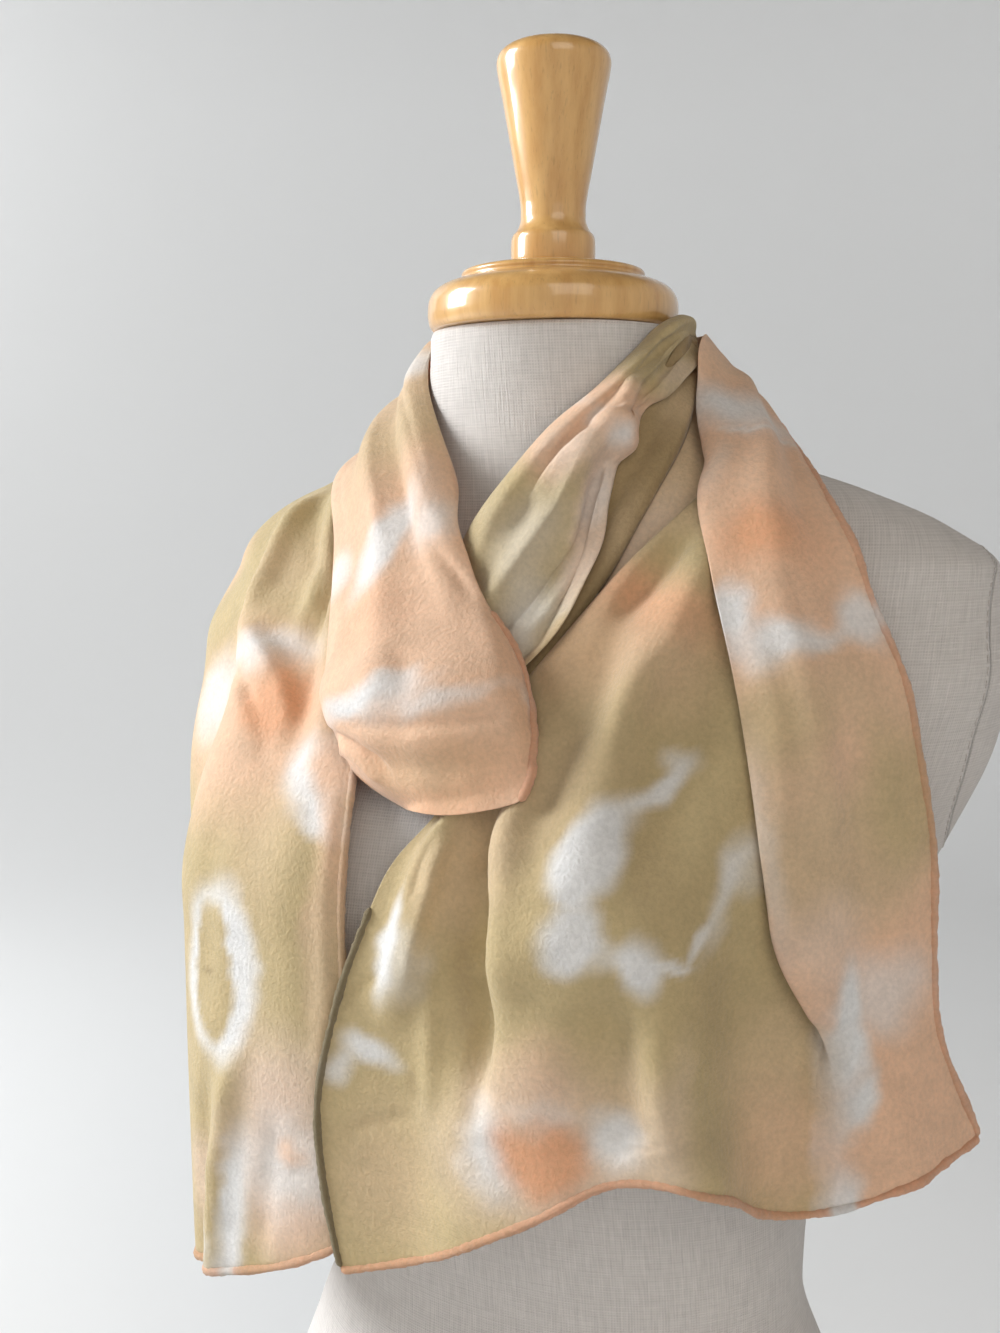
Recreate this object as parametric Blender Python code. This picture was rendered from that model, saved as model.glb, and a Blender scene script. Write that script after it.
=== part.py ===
"""A chiffon scarf wound once round the neck of a dress form, with both ends hanging in front.

Everything is measured from the middle of the form's base: +Z is up, the form faces -Y and its left side
is +X. Tables are in millimetres and degrees; an angle of 0 is the front, 90 is the form's left side and
-90 its right. The cloth is laid on the form in three numbers: an angle, a height, and a lift, which is how
far it stands off the skin that cloth hangs on.
"""

import math
from collections import namedtuple

import bmesh
import bpy
import numpy as np

MM = 0.001

CLOTH_WALL = 1.2
# The space left between two layers of cloth, or between cloth and form, over what the grid's cells add.
CLOTH_GAP = 0.1
# How gently a stretch passes from lying on what is under it to standing clear of it.
SOFTNESS = 1.5
# Half the gap between two stretches of one run, in rows.
SEAM = 0.0025
BASE_BOARD_HEIGHT = 14.0
FORM_BOTTOM = BASE_BOARD_HEIGHT + 0.3
FORM_TOP = 651.7
NECK_AXIS_Y = -20.0

# height, half width, depth in front, depth behind, middle (along Y), squareness of the section
FORM_SECTIONS = (
    (0, 158, 100, 110, 0, 2.2),
    (45, 166, 105, 116, 0, 2.2),
    (110, 155, 101, 107, -1, 2.15),
    (175, 131, 91, 93, -2, 2.1),
    (222, 115, 86, 86, -3, 2.1),
    (270, 117, 92, 88, -3, 2.15),
    (330, 128, 105, 96, -3, 2.2),
    (395, 143, 118, 102, -1, 2.3),
    (440, 156, 112, 106, 2, 2.35),
    (480, 172, 99, 104, 5, 2.4),
    (515, 184, 91, 94, 11, 2.4),
    (550, 184, 82, 80, 16, 2.3),
    (568, 163, 76, 72, 15, 2.2),
    (583, 130, 70, 66, 10, 2.1),
    (595, 97, 66, 62, 4, 2.0),
    (607, 76, 62, 59, -2, 2.0),
    (621, 65, 57, 56, -9, 2.0),
    (640, 58, 54, 54, -15, 2.0),
    (662, 55, 52, 53, -20, 2.0),
)
# The chest's fullness: how far it stands out, its angle each side of the front, and its height.
CHEST_FULLNESS = 22.0
CHEST_ANGLE = 36.0
CHEST_HEIGHT = 400.0
CHEST_ANGLE_SPREAD = 22.0
CHEST_SPREAD_BELOW = 50.0
CHEST_SPREAD_ABOVE = 57.0
PLATE_FULLNESS = 18.5
PLATE_ANGLE = 98.0
PLATE_HEIGHT = 462.0
PLATE_ANGLE_SPREAD = 18.0
PLATE_SPREAD_BELOW = 78.0
PLATE_SPREAD_ABOVE = 66.0

# The grid of angles and heights on which the skin under the cloth is worked out.
ANGLE_STEP = 3.0
HEIGHT_STEP = 4.0
GRID_TOP = 680.0
# How finely a stretch is read when the next one is laid on it.
FINE_CELLS = (60, 120)
SKIN_CLEARANCE = 0.2

# A row across a stretch of cloth, from edge a to edge b.
Row = namedtuple("Row", "angle_a height_a lift_a angle_b height_b lift_b belly sag tuck_a tuck_b")
# A soft fold along a stretch, in rows along it and fractions of the way from edge a to edge b.
Fold = namedtuple("Fold", "row_from row_to across_from across_to half_width depth")
# A stretch of cloth that shows: its rows of a run, its cells across and along, and its first end's tuck.
Stretch = namedtuple("Stretch", "name run first last across along tuck_first")

# The first end: its hem hangs at the form's right, then up over the shoulder, behind the neck and down
# across the throat.
FIRST_END_ROWS = (
    # angle, height, lift at a; the same at b; belly, sag, tuck at a, tuck at b
    Row(-15, 272, 13, -86, 226, 14, 6, -17, 0, 0),
    Row(-16, 330, 12, -86, 312, 15, 7, -4, 0, 0),
    Row(-15, 391, 10, -86, 384, 16, 8, 0, 0, 0),
    Row(-20, 450, 10, -86, 452, 15, 9, 0, 0, 0),
    Row(-30, 492, 10, -88, 505, 6, 4, 0, 0, 0),
    Row(-44, 540, 7, -94, 547, 2, 1, 0, 0, 0),
    Row(-55, 575, 5, -104, 568, 1, 1, 0, 0, 0),
    Row(-70, 607, 4, -118, 584, 3.5, 1, 0, 0, 0),
    Row(-95, 634, 3, -138, 599, 4, 1, 0, 5, 0),
    Row(-130, 644, 3, -165, 604, 5, 1, 0, 5, 0),
    Row(-175, 646, 3.5, 170, 604, 5, 2, 0, 5, 0),
    Row(140, 646, 4, 128, 606, 6, 2, 0, 5, 0),
    Row(108, 648, 5, 104, 620, 6, 2, 0, 6, 4),
    Row(82, 655, 7, 85, 638, 6, 2, 0, 6, 4),
    Row(62, 653, 10, 65, 627, 9, 3, 0, 8, 6),
    Row(48, 639, 13, 52, 613, 12, 3, 0, 10, 8),
    Row(34, 623, 15, 45, 602, 14, 3, 0, 12, 10),
    Row(20, 609, 15, 40, 579, 13, 3, 0, 12, 8),
    Row(7, 590, 14, 37, 552, 12, 3, 0, 12, 6),
    Row(-5, 571, 12, 28, 522, 12, 3, 0, 12, 6),
    Row(-16, 550, 9, 15, 499, 12, 3, 0, 12, 6),
)
FIRST_END_FOLDS = (
    # row from, row to, across from, across to, half width, depth
    Fold(0.0, 5.0, 0.45, 0.50, 0.10, 6),
    Fold(0.0, 4.5, 0.68, 0.66, 0.09, -7),
    Fold(0.0, 5.0, 0.86, 0.82, 0.08, 5),
    Fold(1.0, 5.0, 0.22, 0.26, 0.09, -5),
    Fold(3.9, 6.4, 0.55, 0.34, 0.09, 6),
    Fold(3.0, 4.6, 0.30, 0.54, 0.09, 5),
    Fold(3.6, 6.2, 0.68, 0.50, 0.07, -5),
    Fold(0.0, 2.2, 0.30, 0.34, 0.07, 3),
    Fold(3.0, 8.0, 0.12, 0.26, 0.06, 3),
    Fold(4.4, 9.0, 0.22, 0.40, 0.06, -4),
    Fold(4.0, 12.0, 0.62, 0.66, 0.06, 3),
    Fold(5.0, 12.0, 0.82, 0.84, 0.05, -3),
    Fold(8.0, 14.0, 0.34, 0.38, 0.07, -3),
    Fold(12.5, 19.0, 0.24, 0.30, 0.10, -5),
    Fold(13.0, 16.2, 0.52, 0.72, 0.09, -4),
    Fold(15.8, 20.0, 0.60, 0.52, 0.12, 6),
    Fold(16.4, 19.8, 0.84, 0.74, 0.06, -6),
    Fold(16.6, 19.8, 0.94, 0.88, 0.06, 3),
)

# The second end: it starts as the soft pouch in front, goes up beside the neck, behind it, and down over
# the form's left shoulder.
SECOND_END_ROWS = (
    # angle, height, lift at a; the same at b; belly, sag, tuck at a, tuck at b
    Row(-19.5, 459, 7, 21.5, 456, 9, 4, -10, 8, 6),
    Row(-26, 468, 19, 23.5, 469, 23, 12, -8, 9, 6),
    Row(-32, 483, 28, 22.5, 489, 31, 15, -3, 10, 5),
    Row(-39, 505, 25, 17, 512, 28, 9, 0, 12, 5),
    Row(-49, 536, 19, 6, 534, 23, 6, 0, 12, 6),
    Row(-59, 566, 15, -7, 568, 18, 6, 0, 12, 8),
    Row(-78, 594, 10, -24, 604, 13, 5, 0, 10, 10),
    Row(-98, 608, 9, -44, 630, 10, 4, 0, 6, 8),
    Row(-122, 612, 9, -68, 652, 7, 3, 0, 4, 6),
    Row(-150, 604, 11, -110, 650, 8, 3, 0, 0, 6),
    Row(180, 600, 12, -165, 650, 9, 3, 0, 0, 6),
    Row(150, 600, 13, 150, 650, 10, 3, 0, 0, 6),
    Row(125, 606, 13, 105, 648, 10, 3, 0, 0, 6),
    Row(112, 612, 14, 73, 643, 11, 4, 0, 0, 8),
    Row(99, 606, 15, 68, 618, 14, 4, 0, 0, 8),
    Row(85, 592, 9, 63, 592, 15, 4, 0, 0, 8),
    Row(77, 577, 8, 58, 574, 15, 4, 0, 0, 8),
    Row(74, 552, 8, 57, 546, 14, 4, 0, 0, 8),
    Row(74, 520, 8, 56, 515, 14, 5, 0, 0, 8),
    Row(76, 482, 8, 55, 475, 15, 5, 0, 0, 8),
    Row(78, 444, 8, 54, 440, 15, 4, 0, 0, 8),
    Row(78.5, 403, 8, 54.5, 405, 14, 4, 0, 0, 6),
    Row(79.5, 368, 9, 57, 368, 13, 4, 0, 0, 4),
    Row(85, 324, 11, 61, 302, 14, 4, 2, 0, 2),
)
SECOND_END_FOLDS = (
    Fold(0.0, 3.2, 0.30, 0.62, 0.10, -4),
    Fold(1.5, 8.0, 0.36, 0.40, 0.12, 4),
    Fold(4.0, 9.0, 0.68, 0.62, 0.09, -4),
    Fold(5.0, 13.0, 0.20, 0.22, 0.07, -4),
    Fold(7.5, 14.0, 0.50, 0.50, 0.08, 4),
    Fold(8.0, 15.0, 0.74, 0.72, 0.07, -4),
    Fold(13.0, 20.0, 0.42, 0.50, 0.16, 4),
    Fold(14.5, 19.0, 0.22, 0.24, 0.09, -3),
    Fold(18.0, 22.9, 0.30, 0.40, 0.14, -4),
    Fold(20.0, 23.0, 0.70, 0.72, 0.16, 4),
)

# The wide part of the second end, which fans out below the throat under the shoulder's stretch.
FRONT_ROWS = (
    Row(14, 493, 12, 66, 588, 7, 2, 3, 0, 0),
    Row(8, 472, 14, 68, 552, 6, 4, 2, 0, 0),
    Row(2, 450, 14, 68, 512, 6, 4, 0, 0, 0),
    Row(-7, 430, 13, 68, 470, 7, 3, 0, 0, 0),
    Row(-11, 405, 13, 68, 435, 8, 3, 0, 0, 0),
    Row(-15, 375, 14, 68, 402, 8, 3, 0, 0, 0),
    Row(-18, 335, 15, 68, 368, 9, 3, 0, 0, 0),
    Row(-17, 298, 16, 67.5, 335, 11, 3, 0, 0, 0),
    Row(-14, 264, 18, 67, 305, 13, 3, 0, 0, 0),
)
FRONT_FOLDS = (
    Fold(0.0, 1.2, 0.76, 0.46, 0.09, -2.5),
    Fold(0.2, 2.6, 0.82, 0.46, 0.09, 4.5),
    Fold(1.0, 5.5, 0.10, 0.14, 0.05, 6),
    Fold(1.4, 6.4, 0.20, 0.38, 0.06, -7),
    Fold(1.2, 4.2, 0.29, 0.33, 0.05, 4),
    Fold(0.6, 5.0, 0.62, 0.42, 0.07, 5),
    Fold(1.0, 4.0, 0.80, 0.60, 0.06, -3),
    Fold(4.6, 8.0, 0.58, 0.58, 0.06, -6),
    Fold(4.6, 8.0, 0.64, 0.72, 0.06, 6),
    Fold(3.8, 8.0, 0.76, 0.86, 0.07, -7),
    Fold(5.0, 8.0, 0.38, 0.35, 0.09, 4),
)
# How the wide part's hem rises and falls: fraction of the way across, height.
FRONT_HEM = (
    (0.0, 264),
    (0.25, 281),
    (0.46, 308),
    (0.60, 328),
    (0.68, 331),
    (0.77, 321),
    (0.87, 305),
    (0.95, 301),
    (1.0, 305),
)
FRONT_HEM_ROWS = 3.0

# Two narrow stretches of the loop that show between the throat's drape and the wide part.
BAND_ROWS = (
    Row(68, 648, 7, 84, 644, 7, 1, 0, 0, 3),
    Row(52, 622, 8, 72, 618, 8, 1, 0, 0, 3),
    Row(41, 600, 8, 56, 590, 8, 1, 0, 0, 3),
    Row(34, 582, 8, 48, 571, 8, 1, 0, 0, 3),
    Row(29, 555, 8, 39, 547, 8, 1, 0, 0, 3),
    Row(22, 530, 8, 29, 525, 8, 1, 0, 0, 3),
    Row(10, 503, 9, 18, 497, 9, 1, 0, 0, 3),
)
BAND_FOLDS = (Fold(0.0, 4.5, 0.55, 0.50, 0.16, -2),)
UNDER_BAND_ROWS = (
    Row(74, 626, 2, 80, 600, 2, 1, 0, 0, 0),
    Row(54, 596, 2, 62, 570, 1, 1, 0, 0, 0),
    Row(45, 580, 2, 53, 558, 1, 1, 0, 0, 0),
    Row(36, 556, 2, 44, 544, 1, 1, 0, 0, 0),
    Row(28, 532, 2, 34, 520, 1, 1, 0, 0, 0),
    Row(15, 502, 2, 22, 490, 1, 1, 0, 0, 0),
)

# Every stretch of cloth, in the order in which they lie on the form, the innermost first.
STRETCHES = (
    Stretch("neck_back_inner", "first_end", 8, 12, 9, 16, 0),
    Stretch("left_tail", "first_end", 0, 8, 18, 32, 0),
    Stretch("under_band", "under_band", 0, 5, 4, 12, 0),
    Stretch("inner_band", "band", 0, 6, 6, 16, 0),
    Stretch("front_panel", "front", 0, 8, 26, 26, 6),
    Stretch("cowl", "first_end", 12, 20, 13, 22, 0),
    Stretch("neck_back_outer", "second_end", 8, 12, 9, 18, 0),
    Stretch("knot_flap", "second_end", 0, 8, 16, 24, 7),
    Stretch("shoulder_panel", "second_end", 12, 23, 11, 30, 0),
)
RUNS = {
    "first_end": (FIRST_END_ROWS, FIRST_END_FOLDS),
    "second_end": (SECOND_END_ROWS, SECOND_END_FOLDS),
    "front": (FRONT_ROWS, FRONT_FOLDS),
    "band": (BAND_ROWS, BAND_FOLDS),
    "under_band": (UNDER_BAND_ROWS, ()),
}

# radius, height of the neck cap's turned profile, from its underside to its top
CAP_PROFILE = (
    (50, 652),
    (53.5, 653.5),
    (55, 658),
    (55, 664),
    (53, 669),
    (48, 672.5),
    (39, 674),
    (38.5, 677),
    (37, 680),
)
# radius, height of the finial's turned profile, which stands on the cap
FINIAL_PROFILE = (
    (16.5, 680.3),
    (18.2, 683),
    (18.2, 692),
    (16.5, 695.5),
    (14.6, 699),
    (14.3, 704),
    (16, 714),
    (19, 731),
    (22, 748),
    (24.7, 762),
    (25, 766),
    (23, 770),
    (17, 773.5),
    (8, 775.5),
)

FORM_SIDES = 40
FORM_RINGS = (
    *(FORM_BOTTOM, 45, 80, 115, 150, 185, 222, 260, 300, 335, 370, 400, 430, 465),
    *(500, 525, 545, 558, 568, 578, 588, 598, 609, 621, 635, FORM_TOP),
)
WOOD_SIDES = 24
BOARD_INSET = 6.0
BOARD_EDGE = 3.0

# base colour, roughness
CLOTH_COLOUR = (0.72, 0.55, 0.36, 0.75)
FORM_COLOUR = (0.62, 0.58, 0.53, 0.9)
WOOD_COLOUR = (0.62, 0.33, 0.12, 0.3)


def curve_through(places, values, at):
    """A monotone cubic through (places, values), read at the places `at`."""
    places = np.asarray(places, float)
    values = np.asarray(values, float)
    steps = np.diff(places)
    slopes = np.diff(values) / steps
    tangents = np.concatenate([slopes[:1], np.zeros(len(places) - 2), slopes[-1:]])
    for i in range(1, len(places) - 1):
        if slopes[i - 1] * slopes[i] > 0:
            before = 2 * steps[i] + steps[i - 1]
            after = steps[i] + 2 * steps[i - 1]
            tangents[i] = (before + after) / (before / slopes[i - 1] + after / slopes[i])
    at = np.clip(np.asarray(at, float), places[0], places[-1])
    i = np.clip(np.searchsorted(places, at, side="right") - 1, 0, len(steps) - 1)
    t = (at - places[i]) / steps[i]
    return (
        (1 + 2 * t) * (1 - t) ** 2 * values[i]
        + t * (1 - t) ** 2 * steps[i] * tangents[i]
        + t * t * (3 - 2 * t) * values[i + 1]
        + t * t * (t - 1) * steps[i] * tangents[i + 1]
    )


def rows_at(rows, at):
    """Each column of the rows at the row numbers `at`, on a smooth curve through them (Catmull-Rom)."""
    table = np.array(rows, float)
    for column in (0, 3):
        table[:, column] = np.degrees(np.unwrap(np.radians(table[:, column])))
    ends = np.vstack([2 * table[0] - table[1], table, 2 * table[-1] - table[-2]])
    i = np.clip(np.floor(at).astype(int), 0, len(table) - 2)
    t = (at - i)[:, None]
    p0, p1, p2, p3 = ends[i], ends[i + 1], ends[i + 2], ends[i + 3]
    smooth = (
        2 * p1
        + (p2 - p0) * t
        + (2 * p0 - 5 * p1 + 4 * p2 - p3) * t**2
        + (3 * p1 - p0 - 3 * p2 + p3) * t**3
    )
    return Row(*(smooth / 2).T)


def ease(x):
    """0 below 0, 1 above 1, with a smooth rise between."""
    x = np.clip(x, 0, 1)
    return x * x * (3 - 2 * x)


def chest(angle, height):
    """How far the chest's fullness stands out from the plain section."""
    spread = np.where(height > CHEST_HEIGHT, CHEST_SPREAD_ABOVE, CHEST_SPREAD_BELOW)
    sideways = (np.abs(angle) - CHEST_ANGLE) / CHEST_ANGLE_SPREAD
    upward = (height - CHEST_HEIGHT) / spread
    return CHEST_FULLNESS * np.exp(-(sideways**2) - upward**2)


def arm_plate(angle, height):
    """How far each arm plate stands out from the plain section."""
    spread = np.where(height > PLATE_HEIGHT, PLATE_SPREAD_ABOVE, PLATE_SPREAD_BELOW)
    sideways = (np.abs(angle) - PLATE_ANGLE) / PLATE_ANGLE_SPREAD
    upward = (height - PLATE_HEIGHT) / spread
    return PLATE_FULLNESS * np.exp(-(sideways**2) - upward**2)


def form_radius(angle, height):
    """The form's radius about the upright axis through the base, at angles and heights."""
    angle, height = np.broadcast_arrays(np.asarray(angle, float), np.asarray(height, float))
    columns = np.array(FORM_SECTIONS, float).T
    half_width, front, back, middle, squareness = (
        curve_through(columns[0], column, height) for column in columns[1:]
    )
    across = np.sin(np.radians(angle))
    along = -np.cos(np.radians(angle))
    low = np.full(angle.shape, 5.0)
    high = np.full(angle.shape, 300.0)
    for _ in range(30):
        radius = (low + high) / 2
        from_middle = radius * along - middle
        depth = np.where(from_middle < 0, front, back)
        size = np.abs(radius * across / half_width) ** squareness
        size = size + np.abs(from_middle / depth) ** squareness
        low = np.where(size < 1, radius, low)
        high = np.where(size < 1, high, radius)
    return (low + high) / 2 + chest(angle, height) + arm_plate(angle, height)


def blurred(grid, angle_cells, height_cells):
    """The grid smoothed by a bell curve, round the form and up it."""
    reach = int(3 * angle_cells) + 1
    bell = np.exp(-(np.arange(-reach, reach + 1) ** 2) / (2 * angle_cells**2))
    bell /= bell.sum()
    turned = sum(w * np.roll(grid[:-1], k - reach, axis=0) for k, w in enumerate(bell))
    reach = int(3 * height_cells) + 1
    bell = np.exp(-(np.arange(-reach, reach + 1) ** 2) / (2 * height_cells**2))
    bell /= bell.sum()
    longer = np.pad(turned, ((0, 0), (reach, reach)), mode="edge")
    raised = sum(w * longer[:, k : k + grid.shape[1]] for k, w in enumerate(bell))
    return np.vstack([raised, raised[:1]])


class Skin:
    """The skin that cloth hangs on: the form, but straight down below each place that stands out."""

    def __init__(self):
        self.angles = np.arange(-180, 180 + ANGLE_STEP / 2, ANGLE_STEP)
        self.heights = np.arange(0, GRID_TOP + HEIGHT_STEP / 2, HEIGHT_STEP)
        neck = np.minimum(self.heights, FORM_SECTIONS[-1][0])
        form = form_radius(self.angles[:, None], neck[None, :])
        hanging = np.maximum.accumulate(form[:, ::-1], axis=1)[:, ::-1]
        skin = blurred(hanging, 2, 2)
        for _ in range(3):
            skin = skin + blurred(np.maximum(form - skin, 0), 1, 1) * 1.5
        self.radius = np.maximum(skin, form) + SKIN_CLEARANCE
        smoother = blurred(hanging, 4, 5)
        self.rise = np.gradient(smoother, HEIGHT_STEP, axis=1)
        self.turn = np.gradient(smoother, math.radians(ANGLE_STEP), axis=0)
        self.top = np.zeros_like(self.radius)
        self.resting = np.zeros_like(self.radius)

    def cells(self, angle, height):
        """The grid cell of each place, and how far across the cell it lies."""
        i = (np.asarray(angle, float) + 180) % 360 / ANGLE_STEP
        j = np.clip(np.asarray(height, float), 0, GRID_TOP - 0.01) / HEIGHT_STEP
        low_i = np.floor(i).astype(int)
        low_j = np.floor(j).astype(int)
        return low_i, low_j, i - low_i, j - low_j

    def read(self, grid, angle, height):
        i, j, f, g = self.cells(angle, height)
        lower = grid[i, j] * (1 - f) + grid[i + 1, j] * f
        upper = grid[i, j + 1] * (1 - f) + grid[i + 1, j + 1] * f
        return lower * (1 - g) + upper * g

    def place(self, angle, height, lift):
        """Points in millimetres for places on the skin, each lifted square off it."""
        radius = self.read(self.radius, angle, height)
        upward = -self.read(self.rise, angle, height)
        sideways = -self.read(self.turn, angle, height) / radius
        length = lift / np.sqrt(1 + upward**2 + sideways**2)
        sine = np.sin(np.radians(angle))
        cosine = np.cos(np.radians(angle))
        return np.stack(
            [
                radius * sine + length * (sine + sideways * cosine),
                -radius * cosine + length * (sideways * sine - cosine),
                height + length * upward,
            ],
            axis=-1,
        )

    def cover(self, angle, height, lift):
        """Records cloth up to `lift`, so that what is laid next lies on it."""
        i, j = self.cells(angle, height)[:2]
        for near_i in (-1, 0, 1, 2):
            for near_j in (-1, 0, 1, 2):
                around = (i + near_i) % (len(self.angles) - 1)
                upward = np.clip(j + near_j, 0, len(self.heights) - 1)
                np.maximum.at(self.top, (around, upward), lift)
        self.top[-1] = self.top[0]
        self.resting = blurred(self.top, 0.8, 0.8)


def spaced(count, crowd_first, crowd_last):
    """Fractions from 0 to 1, closer together at an end that is tucked."""
    steps = np.linspace(0, 1, count + 1)
    closer = (1 - np.cos(math.pi * steps)) / 2
    weight = 0.5 * (crowd_first * (1 - steps) + crowd_last * steps)
    return steps * (1 - weight) + closer * weight


def rounded(distance, width):
    """0 at a tucked edge and 1 past its rounding, along a quarter circle."""
    inside = np.clip(distance / np.maximum(width, 0.01), 0, 1)
    return np.where(width > 0.5, np.sqrt(1 - (1 - inside) ** 2), 1.0)


def lay(skin, stretch, across_cells, along_cells):
    """Angles, heights and lifts of a stretch on a grid, resting on the cloth that lies under it."""
    rows, folds = RUNS[stretch.run]
    ran = spaced(along_cells, stretch.tuck_first > 0, False)
    along = stretch.first + SEAM + (stretch.last - stretch.first - 2 * SEAM) * ran
    row = rows_at(rows, along)
    across = spaced(across_cells, row.tuck_a.max() > 0.5, row.tuck_b.max() > 0.5)[:, None]
    arch = 4 * across * (1 - across)
    angle = row.angle_a + (row.angle_b - row.angle_a) * across
    height = row.height_a + (row.height_b - row.height_a) * across + row.sag * arch
    lift = row.lift_a + (row.lift_b - row.lift_a) * across + row.belly * arch
    if stretch.run == "front":
        places, hem = zip(*FRONT_HEM)
        straight = hem[0] + (hem[-1] - hem[0]) * across
        wave = curve_through(places, hem, across) - straight
        height = height + wave * ease(1 - (stretch.last - along) / FRONT_HEM_ROWS) ** 2
    for fold in folds:
        run = (along - fold.row_from) / (fold.row_to - fold.row_from)
        middle = fold.across_from + (fold.across_to - fold.across_from) * np.clip(run, 0, 1)
        soft = 0.9 / (fold.row_to - fold.row_from)
        starts_free = fold.row_from <= 0
        ends_free = fold.row_to >= len(rows) - 1
        fade = np.where(starts_free, 1, ease(run / soft)) * np.where(ends_free, 1, ease((1 - run) / soft))
        lift = lift + fold.depth * fade * np.exp(-(((across - middle) / fold.half_width) ** 2))
    ends = skin.place(angle, height, lift)
    width = np.linalg.norm(np.diff(ends, axis=0), axis=2).sum(axis=0)
    length = np.linalg.norm(np.diff(ends, axis=1), axis=2).sum(axis=1)[:, None]
    shape = rounded(across * width, row.tuck_a) * rounded((1 - across) * width, row.tuck_b)
    shape = shape * rounded(ran * length, np.full(along.shape, float(stretch.tuck_first)))
    resting = skin.read(skin.resting, angle, height) + CLOTH_GAP + CLOTH_WALL / 2
    above = (lift - resting + np.hypot(lift - resting, SOFTNESS)) / 2
    lift = resting + above * shape
    return angle, height, lift


def normals(points):
    """The outward direction at each point of a grid."""
    face = np.cross(np.gradient(points, axis=0), np.gradient(points, axis=1))
    face /= np.maximum(np.linalg.norm(face, axis=2, keepdims=True), 1e-9)
    outward = points * (1, 1, 0)
    return face * np.sign((face * outward).sum())


def add_body(name, vertices, faces, colour):
    """A closed body, in metres, with its own material."""
    mesh = bpy.data.meshes.new(name)
    mesh.from_pydata([tuple(point) for point in np.asarray(vertices) * MM], [], faces)
    body = bmesh.new()
    body.from_mesh(mesh)
    bmesh.ops.triangulate(body, faces=body.faces)
    bmesh.ops.recalc_face_normals(body, faces=body.faces)
    body.to_mesh(mesh)
    body.free()
    mesh.shade_smooth()
    mesh.set_sharp_from_angle(angle=math.radians(50))
    material = bpy.data.materials.new(name)
    material.use_nodes = True
    shader = material.node_tree.nodes["Principled BSDF"]
    shader.inputs["Base Color"].default_value = (*colour[:3], 1)
    shader.inputs["Roughness"].default_value = colour[3]
    shader.inputs["Metallic"].default_value = 0
    mesh.materials.append(material)
    piece = bpy.data.objects.new(name, mesh)
    bpy.context.scene.collection.objects.link(piece)
    return piece


def add_cloth(name, points):
    """A wall of even thickness on both sides of a grid of points."""
    out = normals(points) * CLOTH_WALL / 2
    rows, columns = points.shape[:2]
    vertices = np.concatenate([(points + out).reshape(-1, 3), (points - out).reshape(-1, 3)])
    under = rows * columns

    def corner(i, j):
        return i * columns + j

    faces = []
    for i in range(rows - 1):
        for j in range(columns - 1):
            quad = (corner(i, j), corner(i + 1, j), corner(i + 1, j + 1), corner(i, j + 1))
            faces.append(quad)
            faces.append(tuple(under + k for k in reversed(quad)))
    rim = [corner(i, 0) for i in range(rows)]
    rim += [corner(rows - 1, j) for j in range(1, columns)]
    rim += [corner(i, columns - 1) for i in range(rows - 2, -1, -1)]
    rim += [corner(0, j) for j in range(columns - 2, 0, -1)]
    for a, b in zip(rim, rim[1:] + rim[:1]):
        faces.append((b, a, under + a, under + b))
    add_body(name, vertices, faces, CLOTH_COLOUR)


def add_rings(name, rings, colour):
    """A closed body through level rings that all have the same number of points."""
    sides = len(rings[0])
    faces = [tuple(range(sides))[::-1]]
    for level in range(len(rings) - 1):
        first = level * sides
        for k in range(sides):
            after = (k + 1) % sides
            faces.append((first + k, first + after, first + sides + after, first + sides + k))
    faces.append(tuple(range((len(rings) - 1) * sides, len(rings) * sides)))
    add_body(name, np.concatenate(rings), faces, colour)


def ring(radius, height, sides, middle_y=0.0):
    """A level ring of points; the radius is one number or one for each side."""
    angle = np.arange(sides) * 2 * math.pi / sides
    radius = np.broadcast_to(radius, angle.shape)
    return np.stack(
        [radius * np.sin(angle), middle_y - radius * np.cos(angle), np.full(angle.shape, float(height))],
        axis=1,
    )


def side_angles(sides):
    angle = np.arange(sides) * 360 / sides
    return np.where(angle > 180, angle - 360, angle)


def add_form():
    """The dress form: the padded torso and the board that it stands on."""
    angles = side_angles(FORM_SIDES)
    rings = [ring(form_radius(angles, height), height, FORM_SIDES) for height in FORM_RINGS]
    add_rings("form_torso", rings, FORM_COLOUR)
    outline = form_radius(angles, 0.0) - BOARD_INSET
    rings = [
        ring(outline - BOARD_EDGE, 0, FORM_SIDES),
        ring(outline, BOARD_EDGE, FORM_SIDES),
        ring(outline, BASE_BOARD_HEIGHT, FORM_SIDES),
    ]
    add_rings("base_board", rings, WOOD_COLOUR)


def add_turned_wood():
    """The neck cap and the finial that stands on it."""
    for name, profile in (("neck_cap", CAP_PROFILE), ("finial", FINIAL_PROFILE)):
        rings = [ring(radius, height, WOOD_SIDES, NECK_AXIS_Y) for radius, height in profile]
        add_rings(name, rings, WOOD_COLOUR)


def add_scarf():
    """The stretches of the scarf, from the innermost out."""
    skin = Skin()
    for stretch in STRETCHES:
        points = skin.place(*lay(skin, stretch, stretch.across, stretch.along))
        angle, height, lift = lay(skin, stretch, *FINE_CELLS)
        skin.cover(angle, height, lift + CLOTH_WALL / 2)
        add_cloth(stretch.name, points)


def main():
    for thing in list(bpy.data.objects):
        bpy.data.objects.remove(thing, do_unlink=True)
    add_form()
    add_turned_wood()
    add_scarf()


if __name__ == "__main__":
    main()
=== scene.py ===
"""The finished look of a chiffon scarf wound round the neck of a dress form.

Everything is measured from the middle of the form's base: +Z is up, the form faces -Y and its left side
is +X. Tables are in millimetres and degrees; an angle of 0 is the front, 90 is the form's left side and
-90 its right. The cloth is laid on the form in three numbers: an angle, a height, and a lift, which is how
far it stands off the skin that cloth hangs on.
"""

import functools
import math
from collections import namedtuple

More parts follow.
